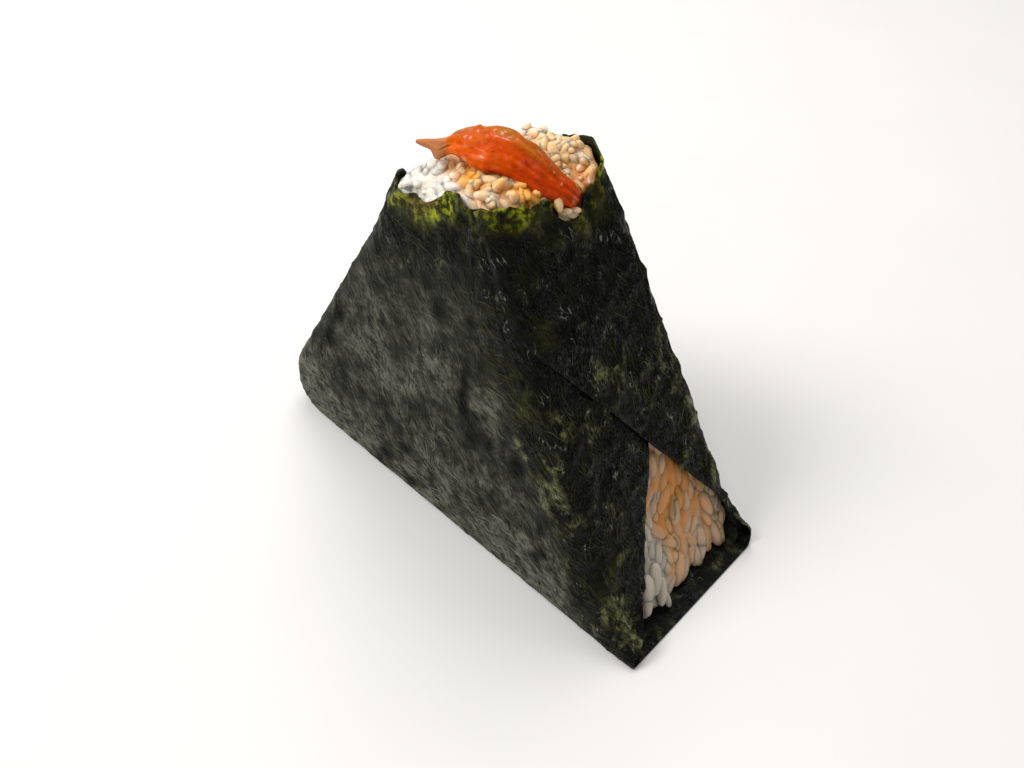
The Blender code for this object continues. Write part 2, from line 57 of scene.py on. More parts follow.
# The wedge, as in the part's source
BASE_LENGTH = 0.0872
BASE_THICKNESS = 0.0341
APEX_HEIGHT = 0.0731
APEX_LENGTH = 0.0079
APEX_THICKNESS = 0.0205
BASE_ANGLE = math.atan2(APEX_HEIGHT, (BASE_LENGTH - APEX_LENGTH) / 2)
CLOSED_END_ROUND = 0.0075
FOOT_ROUND = 0.0015
CLOSED_CORNER_ROUND = 0.0036
RIDGE_ROUND = 0.0028
FACE_CROWN = 0.0007
CROWN_FOOT = 0.014
CROWN_TOP = 0.064
CROWN_TOP_FADE = 0.02
RIM_FLARE = 0.0016
FLARE_START = 0.048
FLARE_RISE = 0.014
MARGIN = 0.0023
LEFT_END = -(BASE_LENGTH / 2 - CLOSED_END_ROUND / math.tan(BASE_ANGLE / 2) + CLOSED_END_ROUND)
MIDDLE = np.array([(LEFT_END + BASE_LENGTH / 2 + MARGIN) / 2, 0.0, 0.0])

# The seeds of the random draws
FIBRES_SEED = 3
THREADS_SEED = 4
CORE_SEED = 5
GRAINS_SEED = 8
FLAKES_SEED = 9

# The sheet: layers, folds at the open end, and how far its flaps reach, by height
SOLID_THICKNESS = 0.00045
LAYER_STEP = 0.00075
FRONT_FOLD = (0.0, 0.006)
BACK_FOLD = (0.002, 0.0105)
FRONT_FLAP_REACH = (
    (0.0, 0.0023), (0.0015, 0.0029), (0.003, 0.0042), (0.008, 0.0088), (0.012, 0.0102), (0.026, 0.0168),
    (0.036, 0.019), (0.066, 0.016),
)
BACK_FLAP_REACH = (
    (0.0, 0.0023), (0.003, 0.0030), (0.006, 0.0029), (0.0085, 0.0020), (0.0105, 0.0019), (0.0475, 0.0246),
    (0.050, 0.0262), (0.068, 0.0233),
)

# The torn rim, by the share of the way round it: 0 to 1 is the open end from front to back, 1 to 2 the back
# face, 2 to 3 the closed end and 3 to 4 the front face
RIM = (
    (0.0, 0.0650), (0.09, 0.0655), (0.19, 0.0654), (0.27, 0.0640), (0.37, 0.0644), (0.45, 0.0622),
    (0.53, 0.0603), (0.62, 0.0603), (0.75, 0.0618), (0.86, 0.0627), (0.94, 0.0645), (1.02, 0.0662),
    (1.08, 0.0666), (1.17, 0.0660), (1.25, 0.0654), (1.33, 0.0648), (1.42, 0.0641), (1.5, 0.0630),
    (1.6, 0.0613), (1.75, 0.0599), (2.0, 0.0588), (2.5, 0.0584), (2.72, 0.0585), (2.80, 0.0593),
    (2.88, 0.0606), (2.98, 0.0615), (3.03, 0.0608), (3.18, 0.0607), (3.4, 0.0617), (3.55, 0.0646),
    (3.68, 0.0653), (3.8, 0.0644), (3.9, 0.0650), (4.0, 0.0650),
)
RIM_GREEN = (
    (0.0, 0.55), (0.16, 0.7), (0.3, 0.35), (0.5, 0.2), (0.75, 0.5), (1.0, 0.9), (1.2, 0.5), (1.6, 0.3),
    (2.5, 0.4), (2.9, 0.6), (3.2, 0.7), (3.27, 1.0), (3.62, 1.0), (3.70, 0.25), (3.84, 0.3), (3.90, 0.7),
    (4.0, 0.55),
)
PLAIN_RIM = 0.0615
RIM_FADE = 4
UNDER_FLAP_DROP = 0.0009
UNDER_FLAP_WAY = 0.75
RIM_RAG = 0.00035
CRUMPLE_BAND = 0.0075

# The sheet's relief: the width of the wrinkled band beside the ridge at the foot and at the rim, the height
# from which the rest is wet, the ribs along the fibres, the height by which the relief is full, and how far
# and over what distance places are moved
RIDGE_WIDTHS = (0.0075, 0.015)
WET_FROM = 0.045
WET_RISE = 0.011
RIB_LENGTH = 0.0085
RIB_WIDTH = 0.0014
RIB_HEIGHT = 0.00026
RELIEF_RISE = 0.004
WARP_REACH = 0.002
WARP_SIZE = 0.012

# Columns in each stretch of the sheet, which are the back flap, back face, closed end, front face and front
# flap, and its rows
FLAP_COLUMNS = 32
FACE_COLUMNS = 96
END_COLUMNS = 48
FOOT_ANGLES = (0, 30, 60, 90)
WALL_ROWS = 104

# The fibres: how far they slope down on a large face and on an end and lean there, how deep their edges are
# sunk, how many steps a route has, and how wide and long a thread is by a fibre
FACE_FIBRE_SLOPE = math.radians(42)
END_FIBRE_SLOPE = math.radians(80)
END_FIBRE_LEAN = 0.12
FIBRE_SUNK = 0.00004
FIBRE_STEPS = 7
THREAD_STEPS = 5
THREAD_WIDTH = 0.55
THREAD_LENGTH = 0.62

# The rice, and the grains that show
RICE_INSET = 0.0011
RICE_FOOT_ROUND = 0.0024
RIM_ROWS = 26
DIRECTIONS = 240
SNUG_GAP = 0.00015
HEAP_START = 0.0572
HEAP_TOP = 0.0665
HEAP_BELOW_RIM = 0.0004
HEAP_SLOPE = 0.5
HEAP_LEVEL_FROM = 0.002
GRAIN_SIDES = 9
GRAIN_RINGS = (-0.94, -0.72, -0.36, 0.04, 0.42, 0.75, 0.94)
GRAIN_BEND = 0.16
GRAIN_WAVE = 0.00012
FUSE_SOFTNESS = 0.00013
FAR_BELOW = -0.003
GRAIN_FLATNESS = 0.88
CANDIDATES = 5000
LEAST_HEIGHT = 0.0007
OPEN_SPAN = math.radians(27)
OPEN_COLUMNS = 112
REST_COLUMNS = 200
CORNER_TOP = 0.0275
CORNER_ROWS = 88
UPPER_ROWS = 14
HEAP_RINGS = 56

# How far apart grains lie, and how far they are sunk below the surface: those fused into the core, and the
# separate ones over it. The separate ones also have their steepest tilt and their least and largest size.
FUSED_HEAP_GAP = 0.0014
FUSED_HEAP_SUNK = (0.0014, 0.0020)
FUSED_CORNER_GAP = 0.0015
FUSED_CORNER_SUNK = (0.0002, 0.0011)
HEAP_SUNK = (0.0, 0.0004)
CORNER_SUNK = (-0.0002, 0.0008)
STEEPEST_TILT = 1.2
HEAP_SIZES = (0.68, 0.82)
CORNER_SIZES = (0.85, 1.1)
SINGLE_FACING = (0.6, -0.5, 0.6)

# The margins that keep grains in the nori: how far the heap's grains stay from the rim, how deep a tilted one
# lies below its upper end, the step over which the heap's slope is measured, where the open corner's grains
# are and how far they go under the flaps, how far the corner's rice lies behind the flaps and stands proud
# between them, and its gap to the large faces
RIM_MARGIN = 0.0006
TILTED_DEPTH = 0.0018
SLOPE_STEP = 0.0003
CORNER_HEIGHTS = (0.0014, 0.0265)
CORNER_HALF_WIDTH = 0.0165
UNDER_FLAP = 0.0012
PROUD_RANGE = (-0.0006, 0.0014)
PROUD_FADE = 0.0016
FACE_MARGIN = 0.0008

# Where the rice is soaked and where it stays pale, each by its middle and width along two axes: the soaked
# places along Y and Z in the open corner, and the pale ones along X and Y on the heap
SOAKED_MIDDLE = ((0.0060, 0.0050), (0.0160, 0.0050))
SOAKED_LOW = ((0.0012, 0.0025), (0.0122, 0.0022))
# In the rim's dip the paler rice is partly its own colour and partly painted light against the kimchi's shadow.
PALE_DIP = ((0.0115, 0.0020), (0.0004, 0.0020))
PALE_PILE = ((-0.0040, 0.0018), (0.0087, 0.0018))

# The kimchi strip, from its pale tip over the heap and down into the rice: x, y, z, half width, half depth.
# After it come the width of its crease, the place near the tip where it is wider, its dark spot and the span
# of its flakes, by stations along the strip and half widths across it.
KIMCHI_STATIONS = np.array((
    (-0.0101, -0.0072, 0.0658, 0.0003, 0.0002),
    (-0.0058, -0.0064, 0.0670, 0.0011, 0.0005),
    (-0.0034, -0.0054, 0.0681, 0.0021, 0.0008),
    (-0.0012, -0.0046, 0.0685, 0.0033, 0.0010),
    (0.0019, -0.0030, 0.0686, 0.0035, 0.0011),
    (0.0053, -0.0016, 0.0673, 0.0030, 0.0012),
    (0.0082, -0.0001, 0.0651, 0.0026, 0.0012),
    (0.0109, 0.0016, 0.0630, 0.0017, 0.0011),
    (0.0092, 0.0038, 0.0606, 0.0014, 0.0011),
    (0.0068, 0.0026, 0.0550, 0.0026, 0.0019),
    (0.0040, 0.0020, 0.0460, 0.0045, 0.0030),
    (0.0025, 0.0010, 0.0380, 0.0050, 0.0034),
    (0.0020, 0.0000, 0.0300, 0.0040, 0.0028),
    (0.0020, 0.0000, 0.0250, 0.0014, 0.0011),
))
KIMCHI_FACING = (0.15, -0.45, 0.88)
KIMCHI_STEPS = 12
KIMCHI_SIDES = 56
KIMCHI_SHOWN = 7.3
KIMCHI_DROOP = 0.18
CREASE_WIDTH = 0.15
WIDE_PLACE = (0.95, 0.24)
DARK_SPOT = ((5.02, 0.17), (-0.26, 0.15))
FLAKES_FROM = 2.6
FLAKES_TO = 7.0
FLAKES_ON_STRIP = 0.45
FLAKE_DARK = (0.34, 0.020, 0.004)
FLAKE_BRIGHT = (0.62, 0.09, 0.01)

# The camera, worked out from the photo's outline: place, azimuth, elevation, roll and focal length in pixels
CAMERA_PLACE = (0.0730, -0.0836, 0.1387)
CAMERA_AZIMUTH = math.radians(41.27)
CAMERA_ELEVATION = math.radians(46.51)
CAMERA_ROLL = math.radians(2.755)
CAMERA_FOCAL_PIXELS = 950
PICTURE_WIDTH = 1024
SENSOR_WIDTH = 36.0
NEAREST_SEEN = 0.01

# The studio: half the floor's side and its gap to the base, the sky's colour, the point that the lights look
# at, and each light's name, place, size and power
FLOOR_HALF = 3.0
FLOOR_GAP = 0.00002
SKY_COLOUR = (1.0, 0.99, 0.97, 1.0)
LIGHT_TARGET = (0.0, 0.0, 0.03)
LIGHTS = (
    ("key light", (-0.32, -0.38, 0.60), 0.28, "key_power"),
    ("top light", (-0.20, 0.22, 0.60), 0.36, "top_power"),
    ("glint light", (-0.11, -0.20, 0.62), 0.03, "glint_power"),
)


class NoriLook(bpy.types.PropertyGroup):
    """Sizes and colours of the sheet of nori."""
    thickness: bpy.props.FloatProperty(
        name="Thickness", description="Thickness of the sheet", default=0.0003, min=0.0001,
        max=SOLID_THICKNESS, unit="LENGTH")
    lumps: bpy.props.FloatProperty(
        name="Lumps", description="Height of the lumps that the rice presses into it", default=0.00032,
        unit="LENGTH")
    wrinkles: bpy.props.FloatProperty(
        name="Wrinkles", description="Height of the wrinkles in wet places", default=0.00080, unit="LENGTH")
    crumple: bpy.props.FloatProperty(
        name="Crumple", description="Depth of the crumpled band under the rim", default=0.00100,
        unit="LENGTH")
    fibres: bpy.props.IntProperty(name="Fibres", description="Number of raised fibres", default=4600, min=1)
    threads: bpy.props.IntProperty(name="Threads", description="Number of finer threads", default=7000, min=1)
    fibre_width: bpy.props.FloatProperty(
        name="Fibre Width", description="Width of a raised fibre", default=0.00025, unit="LENGTH")
    fibre_length: bpy.props.FloatProperty(
        name="Fibre Length", description="Length of a raised fibre", default=0.0032, unit="LENGTH")
    dry_dark: bpy.props.FloatVectorProperty(
        name="Dry Ground", description="Colour between the fibres where it is dry", subtype="COLOR",
        default=(0.0055, 0.0065, 0.0040), min=0.0, max=1.0)
    dry_light: bpy.props.FloatVectorProperty(
        name="Dry Fibre", description="Colour of the fibres where it is dry", subtype="COLOR",
        default=(0.162, 0.162, 0.126), min=0.0, max=1.0)
    wet_dark: bpy.props.FloatVectorProperty(
        name="Wet Ground", description="Colour between the fibres where it is wet", subtype="COLOR",
        default=(0.0022, 0.0026, 0.0015), min=0.0, max=1.0)
    wet_light: bpy.props.FloatVectorProperty(
        name="Wet Fibre", description="Colour of the fibres where it is wet", subtype="COLOR",
        default=(0.122, 0.129, 0.050), min=0.0, max=1.0)
    green: bpy.props.FloatVectorProperty(
        name="Thin Green", description="Colour where the wet sheet is thin and lets light through",
        subtype="COLOR", default=(0.46, 0.50, 0.010), min=0.0, max=1.0)
    # Painted highlight: the colour of pale strokes that stand in for glints on wet crests.
    glint: bpy.props.FloatVectorProperty(
        name="Wet Glint", description="Colour of the pale strokes on the crests of wet places",
        subtype="COLOR", default=(0.30, 0.31, 0.26), min=0.0, max=1.0)
    brown: bpy.props.FloatVectorProperty(
        name="Thin Brown", description="Colour where the rice shines through the wet sheet", subtype="COLOR",
        default=(0.22, 0.15, 0.03), min=0.0, max=1.0)


class RiceLook(bpy.types.PropertyGroup):
    """Sizes and colours of the rice."""
    grain_length: bpy.props.FloatProperty(
        name="Grain Length", description="Length of a cooked grain", default=0.0060, unit="LENGTH")
    grain_width: bpy.props.FloatProperty(
        name="Grain Width", description="Width of a cooked grain", default=0.0023, unit="LENGTH")
    heap_spacing: bpy.props.FloatProperty(
        name="Heap Spacing", description="Least distance between grains on the heap", default=0.0010,
        unit="LENGTH")
    corner_spacing: bpy.props.FloatProperty(
        name="Corner Spacing", description="Least distance between grains in the open corner", default=0.0016,
        unit="LENGTH")
    white: bpy.props.FloatVectorProperty(
        name="Plain Rice", description="Colour of plain rice", subtype="COLOR",
        default=(0.98, 0.88, 0.73), min=0.0, max=1.0)
    yellow: bpy.props.FloatVectorProperty(
        name="Sauce Stain", description="Colour of rice soaked with sauce", subtype="COLOR",
        default=(0.97, 0.36, 0.045), min=0.0, max=1.0)
    peach: bpy.props.FloatVectorProperty(
        name="Faint Stain", description="Colour of rice that is faintly stained", subtype="COLOR",
        default=(0.92, 0.53, 0.27), min=0.0, max=1.0)


class KimchiLook(bpy.types.PropertyGroup):
    """Relief and colours of the kimchi."""
    ripples: bpy.props.FloatProperty(
        name="Ripples", description="Height of the ripples on the strip", default=0.00026, unit="LENGTH")
    flakes: bpy.props.IntProperty(
        name="Chilli Flakes", description="Number of chilli flakes on the strip and the rice", default=32,
        min=1)
    flake_size: bpy.props.FloatProperty(
        name="Flake Size", description="Size of a chilli flake", default=0.00036, unit="LENGTH")
    tip: bpy.props.FloatVectorProperty(
        name="Pale Tip", description="Colour of the pale tip", subtype="COLOR",
        default=(0.44, 0.165, 0.06), min=0.0, max=1.0)
    # The clear veins and the orange band lie on the strip's upward side: their colours are partly their own and
    # partly painted shade, darkened against the lamps that light that side.
    pinkish: bpy.props.FloatVectorProperty(
        name="Clear Veins", description="Colour of the clear, pale veins", subtype="COLOR",
        default=(0.34, 0.135, 0.085), min=0.0, max=1.0)
    vein: bpy.props.FloatVectorProperty(
        name="Vein", description="Colour of the paler veins", subtype="COLOR",
        default=(0.46, 0.17, 0.014), min=0.0, max=1.0)
    orange: bpy.props.FloatVectorProperty(
        name="Orange", description="Colour of the thin band along the back", subtype="COLOR",
        default=(0.42, 0.115, 0.005), min=0.0, max=1.0)
    vivid: bpy.props.FloatVectorProperty(
        name="Vivid Orange", description="Colour of the sauce near the tip", subtype="COLOR",
        default=(0.74, 0.115, 0.002), min=0.0, max=1.0)
    red: bpy.props.FloatVectorProperty(
        name="Red", description="Colour of the sauce along the front", subtype="COLOR",
        default=(0.66, 0.066, 0.001), min=0.0, max=1.0)
    deep: bpy.props.FloatVectorProperty(
        name="Deep Red", description="Colour where the sauce is thick", subtype="COLOR",
        default=(0.42, 0.014, 0.001), min=0.0, max=1.0)


class StageLook(bpy.types.PropertyGroup):
    """Floor and lights."""
    key_power: bpy.props.FloatProperty(
        name="Key Power", description="Power of the large soft light on the left", default=3.6,
        subtype="POWER")
    top_power: bpy.props.FloatProperty(
        name="Top Power", description="Power of the soft light above", default=2.1, subtype="POWER")
    glint_power: bpy.props.FloatProperty(
        name="Glint Power", description="Power of the small light that draws glints", default=0.34,
        subtype="POWER")
    sky: bpy.props.FloatProperty(name="Sky", description="Strength of the even light all round", default=0.40)
    floor: bpy.props.FloatVectorProperty(
        name="Floor", description="Colour of the floor", subtype="COLOR",
        default=(0.80, 0.785, 0.76), min=0.0, max=1.0)


def blend(first, second, share):
    """A value this share of the way from the first to the second."""
    return first + (second - first) * share


def ease(share):
    """A rise from 0 to 1 that starts and ends level: 3t^2 - 2t^3, held at its ends."""
    share = np.clip(share, 0.0, 1.0)
    return share * share * (3.0 - 2.0 * share)


def around(values, bell):
    """A bell from 0 to 1 round a place: e to the power of minus the sum of ((value - middle) / width)^2."""
    return np.exp(-sum(((value - middle) / width) ** 2 for value, (middle, width) in zip(values, bell)))


def read_off(profile, place):
    """The value at each place between the points of a profile, joined by straight lines."""
    places, values = np.array(profile).T
    return np.interp(place, places, values)


def unit(vectors):
    """Each vector divided by its length."""
    return vectors / np.maximum(np.linalg.norm(vectors, axis=-1, keepdims=True), 1e-12)


def lattice(x, y, z, seed):
    """A fixed number from -1 to 1 for each lattice point: its whole numbers times primes, mixed by bits."""
    mixed = x * 73856093 ^ y * 19349663 ^ z * 83492791 ^ seed * 2654435761
    mixed = (mixed ^ (mixed >> 13)) * 1274126177 & 0xFFFFFFFF
    mixed = (mixed ^ (mixed >> 15)) * 2246822519 & 0xFFFFFFFF
    return (mixed >> 8 & 0xFFFF) / 32767.5 - 1.0


def noise(points, size, seed):
    """Smooth noise from -1 to 1 with lumps of about this size. The numbers at the eight lattice points round
    a point are blended along each axis by 3t^2 - 2t^3."""
    place = points / size
    whole = np.floor(place).astype(np.int64)
    part = place - whole
    part = part * part * (3.0 - 2.0 * part)
    total = np.zeros(points.shape[:-1])
    for corner in range(8):
        step = np.array([corner & 1, corner >> 1 & 1, corner >> 2 & 1])
        weight = np.prod(np.where(step, part, 1.0 - part), axis=-1)
        total += weight * lattice(*np.moveaxis(whole + step, -1, 0), seed)
    return total


def rough(points, size, seed, octaves=3):
    """Noises added up, each half as large and half as strong as the one before."""
    return sum(noise(points, size / 2 ** n, seed + n) / 2 ** n for n in range(octaves))


def creases(points, size, seed, octaves=2):
    """Sharp crests from 0 to 1 where a noise crosses zero: (1 - |noise|)^4, added up as in rough noise."""
    crests = ((1 - np.abs(noise(points, size / 2 ** n, seed + n))) ** 4 / 2 ** n for n in range(octaves))
    return sum(crests) / 1.5


def along_fibres(points, slope, length, width):
    """Points turned about Y so that the fibres run along X, then divided by their length and width."""
    across = points[..., 0] * math.sin(slope) + points[..., 2] * math.cos(slope)
    down = points[..., 0] * math.cos(slope) - points[..., 2] * math.sin(slope)
    return np.stack([down / length, points[..., 1] / width, across / width], axis=-1)


def half_length(z):
    """Half the length of the wedge, which tapers evenly with height."""
    return blend(BASE_LENGTH, APEX_LENGTH, z / APEX_HEIGHT) / 2


def half_thickness(z):
    """Half the thickness of the wedge, which tapers evenly with height."""
    return blend(BASE_THICKNESS, APEX_THICKNESS, z / APEX_HEIGHT) / 2


def slope_wall(z, rounding, inset):
    """How far a slanted side stands from the middle. An arc joins it to the base and touches both."""
    centre = BASE_LENGTH / 2 - rounding / math.tan(BASE_ANGLE / 2)
    arc = centre + np.sqrt(np.maximum((rounding - inset) ** 2 - (rounding - z) ** 2, 0.0))
    straight = half_length(z) - inset / math.sin(BASE_ANGLE)
    return np.where(z >= rounding + (rounding - inset) * math.cos(BASE_ANGLE), straight, arc)


def closed_wall(z, inset):
    """The closed end, which stands up a little straighter below the rim."""
    return slope_wall(z, CLOSED_END_ROUND, inset) + RIM_FLARE * ease((z - FLARE_START) / FLARE_RISE)


def face_wall(z, inset):
    """How far a large face stands from the middle, with its lower edge rounded."""
    arc = np.sqrt(np.maximum((FOOT_ROUND - inset) ** 2 - (FOOT_ROUND - z) ** 2, 0.0))
    return np.where(z >= FOOT_ROUND, half_thickness(z) - inset, half_thickness(z) - FOOT_ROUND + arc)


def crown(x, z):
    """How far the large faces swell between their edges: 1 - x^2 along them, fading at base and rim."""
    across = np.maximum(1.0 - (x / half_length(z)) ** 2, 0.0)
    return across * ease(z / CROWN_FOOT) * ease((CROWN_TOP - z) / CROWN_TOP_FADE) * FACE_CROWN


def rounded_path(corners, way):
    """Points and outward directions this way along level paths, and how far along each corner's middle lies.
    A path is straight stretches joined by arcs that turn left. Each corner is an x, a y and a radius."""
    corners = [tuple(np.broadcast_to(value, way.shape) for value in corner) for corner in corners]
    start = np.stack(corners[0][:2], axis=-1)
    done = np.zeros(way.shape)
    spot = np.zeros(way.shape + (2,))
    out = np.zeros(way.shape + (2,))
    marks = []

    def lay(from_way, points, directions):
        """Take over these points and directions for the places that lie at or past this way."""
        reached = (way >= from_way)[..., None]
        np.copyto(spot, points, where=reached)
        np.copyto(out, directions, where=reached)

    for before, here, after in zip(corners, corners[1:], corners[2:]):
        heading = np.arctan2(here[1] - before[1], here[0] - before[0])
        turn = np.arctan2(after[1] - here[1], after[0] - here[0]) - heading
        turn = np.maximum((turn + math.pi) % (2 * math.pi) - math.pi, 1e-6)
        radius = np.maximum(here[2], 1e-7)
        corner = np.stack(here[:2], axis=-1)
        ahead = np.stack([np.cos(heading), np.sin(heading)], axis=-1)
        touch = corner - ahead * (radius * np.tan(turn / 2))[..., None]
        right = np.stack([np.sin(heading), -np.cos(heading)], axis=-1)
        lay(np.where(done > 0, done, -1.0), start + ahead * (way - done)[..., None], right)
        done = done + np.sum((touch - start) * ahead, axis=-1)
        now = heading + (way - done) / radius
        outward = np.stack([np.sin(now), -np.cos(now)], axis=-1)
        lay(done, touch + (outward - right) * radius[..., None], outward)
        marks.append(done + radius * turn / 2)
        done = done + radius * turn
        away = np.stack([np.cos(heading + turn), np.sin(heading + turn)], axis=-1)
        start = corner + away * (radius * np.tan(turn / 2))[..., None]
    last = unit(np.stack([corners[-1][0] - corners[-2][0], corners[-1][1] - corners[-2][1]], axis=-1))
    lay(done, start + last * (way - done)[..., None], np.stack([last[..., 1], -last[..., 0]], axis=-1))
    return spot, out, marks


def fold(z, heights):
    """The angle of a flap at the open end: none near the floor, a right angle once it lies on the side."""
    start, end = heights
    return math.pi / 2 * ease((z - start) / (end - start))


def sheet_path(z):
    """The corners of the sheet's path round the rice at each height."""
    side = half_length(z)
    face = face_wall(z, 0.0)
    closed = -closed_wall(z, 0.0)
    outer = side + LAYER_STEP * ease(z / BACK_FOLD[1]) / math.sin(BASE_ANGLE)
    back_angle = fold(z, BACK_FOLD)
    front_angle = fold(z, FRONT_FOLD)
    reach = BASE_THICKNESS
    over = -(face + LAYER_STEP)
    wrapped = z >= BACK_FOLD[1]
    stand_x = outer + np.cos(back_angle) * reach
    stand_y = face - np.sin(back_angle) * reach
    return [
        (np.where(wrapped, side - RIDGE_ROUND * 2, 2 * stand_x - outer),
         np.where(wrapped, over, 2 * stand_y - face), 0.0),
        (np.where(wrapped, outer, stand_x), np.where(wrapped, over, stand_y),
         np.where(wrapped, RIDGE_ROUND + LAYER_STEP, 0.0)),
        (outer, face, RIDGE_ROUND),
        (closed, face, CLOSED_CORNER_ROUND),
        (closed, -face, CLOSED_CORNER_ROUND),
        (side, -face, RIDGE_ROUND),
        (side + np.cos(front_angle) * reach, -face + np.sin(front_angle) * reach, 0.0),
    ]


def sheet_points(stretch, share, z):
    """Points of the sheet's plain outer surface at columns' places and heights, and how far past the fold
    between the front face and the open end each one lies."""
    corners = sheet_path(z)
    nowhere = np.zeros(z.shape)
    folds = rounded_path(corners, nowhere)[2][-4:]
    stops = np.stack([
        folds[0] - read_off(BACK_FLAP_REACH, z), *folds, folds[3] + read_off(FRONT_FLAP_REACH, z),
    ])
    start = np.take_along_axis(stops, stretch[None], axis=0)[0]
    end = np.take_along_axis(stops, stretch[None] + 1, axis=0)[0]
    way = blend(start, end, share)
    spot, out, _ = rounded_path(corners, way)
    swell = crown(spot[..., 0], z) * np.abs(out[..., 1]) * np.sign(out[..., 1])
    return np.stack([spot[..., 0], spot[..., 1] + swell, z], axis=-1), way - folds[3]


def sheet_columns():
    """The stretch and the share along it of each column of the sheet."""
    counts = (FLAP_COLUMNS, FACE_COLUMNS, END_COLUMNS, FACE_COLUMNS, FLAP_COLUMNS)
    stretch = np.concatenate([np.full(count, n) for n, count in enumerate(counts)] + [[4]])
    share = np.concatenate([np.arange(count) / count for count in counts] + [[1.0]])
    return stretch, share


def grid_normals(points):
    """Outward normals of a grid of points whose columns run round to the left and whose rows go up."""
    return unit(np.cross(np.gradient(points, axis=1), np.gradient(points, axis=0)))


def mottle(points):
    """Dark and light patches, from 0 to 1.5: a broad noise and a clumpy fine one added up. They are darker near
    the top and at the foot of the open end, and lighter along the rest of the foot, which is painted light
    where the lamps leave it dark."""
    broad = rough(points, 0.013, 171, 2)
    clumps = rough(points * (1.0, 1.0, 0.8), 0.0030, 175, 2)
    shade = blend(1.0, 0.45, ease((points[..., 2] - 0.028) / 0.024))
    near_foot = ease((0.017 - points[..., 2]) / 0.014) * ease((0.030 - points[..., 0]) / 0.010)
    open_foot = ease((0.020 - points[..., 2]) / 0.012) * ease((points[..., 0] - 0.029) / 0.008)
    # Painted light: the foot away from the open end is lightened by up to 2.3 times.
    shade = shade * (1 + 1.30 * near_foot - 0.35 * open_foot)
    return np.clip((0.64 + 0.24 * broad + 0.66 * clumps) * shade, 0.0, 1.5)


def warp(points):
    """The places moved a little with a slow noise along each axis."""
    return points + WARP_REACH * np.stack([noise(points, WARP_SIZE, seed) for seed in (51, 52, 53)], axis=-1)


def wrinkle_crests(warped):
    """Crests of the wrinkles in wet nori, from 0 to about 1: large creases and small ones added up."""
    return 0.6 * creases(warped * (1, 1, 0.7), 0.0062, 81) + 0.6 * creases(warped, 0.0030, 85)


def nori_surface(look):
    """The sheet's outer surface as a grid: points, normals, and masks for wet places, thin green places and
    places that a flap covers. The surface is the plain sheet plus, along its normal, the lumps of the rice,
    low ribs along the fibres, wrinkles in wet places and a crumpled band under the rim. Each of them is a
    noise of the place in space alone, so that two layers of the sheet move together."""
    stretch, share = sheet_columns()
    feet = [FOOT_ROUND * (1 - math.cos(math.radians(angle))) for angle in FOOT_ANGLES]
    heights = np.concatenate([feet, np.linspace(FOOT_ROUND, PLAIN_RIM, WALL_ROWS + 1)[1:]])
    rim = np.where(stretch == 4, read_off(RIM, share * UNDER_FLAP_WAY) - UNDER_FLAP_DROP,
                   read_off(RIM, stretch + share))
    rim_spots = sheet_points(stretch, share, rim)[0]
    rim = rim + RIM_RAG * rough(rim_spots, 0.0022, 11)
    torn = heights[:, None] + (rim - PLAIN_RIM)[None] * (heights[:, None] / PLAIN_RIM) ** RIM_FADE
    stretch = np.broadcast_to(stretch, torn.shape)
    share = np.broadcast_to(share, torn.shape)
    points, past_ridge = sheet_points(stretch, share, torn)
    points = points - MIDDLE
    side = ease(past_ridge / 0.003 + 0.5) * (stretch >= 3) + (stretch == 0) * (past_ridge < -0.02)
    level = torn / PLAIN_RIM
    near_ridge = np.exp(-(past_ridge / blend(*RIDGE_WIDTHS, level)) ** 2) * (stretch >= 3)
    near_ridge = np.maximum(near_ridge, side)
    patchy = 0.5 + 0.5 * rough(points, 0.008, 21)
    wet = ease(near_ridge * 1.25 - 0.42 + 0.5 * patchy * near_ridge)
    below_rim = (rim[None] - torn) / CRUMPLE_BAND
    band = ease(1.0 - below_rim) * np.where((stretch >= 3) | (stretch == 0), 1.0, 0.3)
    wet = np.maximum(wet, band * ease(patchy * 1.2 + 0.2))
    upper = ease((torn - WET_FROM + 0.006 * (patchy - 0.5)) / WET_RISE)
    wet = np.maximum(wet, 0.85 * upper * (stretch >= 2))
    green = band * ease(1.3 - below_rim * 1.4 + 0.5 * rough(points, 0.004, 31))
    green = green * read_off(RIM_GREEN, np.minimum(stretch, 3) + share * (stretch < 4) + (stretch == 4))
    small = ease((rough(points, 0.0036, 41) - 0.05) * 1.6) * ease(rough(points, 0.013, 42) * 1.2 + 0.15)
    green = np.maximum(green, 0.21 * np.maximum(near_ridge, 0.5 * ease((level - 0.7) / 0.2)) * small)
    warped = warp(points)
    ribs = creases(along_fibres(warped, FACE_FIBRE_SLOPE, RIB_LENGTH, RIB_WIDTH), 1.0, 61)
    relief = look.lumps * (0.45 + 0.6 * noise(points, 0.008, 71) + 0.3 * noise(points, 0.004, 72))
    relief = relief + RIB_HEIGHT * ribs * (1 - 0.4 * wet)
    relief = relief + look.wrinkles * near_ridge * wrinkle_crests(warped)
    folds = 0.9 * creases(warped * (1, 1, 1.3), 0.0034, 91) - 0.25 + 0.5 * noise(points, 0.0022, 92)
    relief = relief + look.crumple * band * folds
    relief = relief * ease(torn / RELIEF_RISE)
    green = green * blend(1.0, ease(folds * 1.5 + 0.35), 0.85 * band)
    points = points + grid_normals(points) * relief[..., None]
    flap_edge = half_thickness(torn) - read_off(BACK_FLAP_REACH, torn)
    covered = (stretch == 4) & (points[..., 1] > flap_edge - 0.0004) & (torn > BACK_FOLD[1])
    return points, grid_normals(points), wet, np.clip(green, 0.0, 1.0), covered


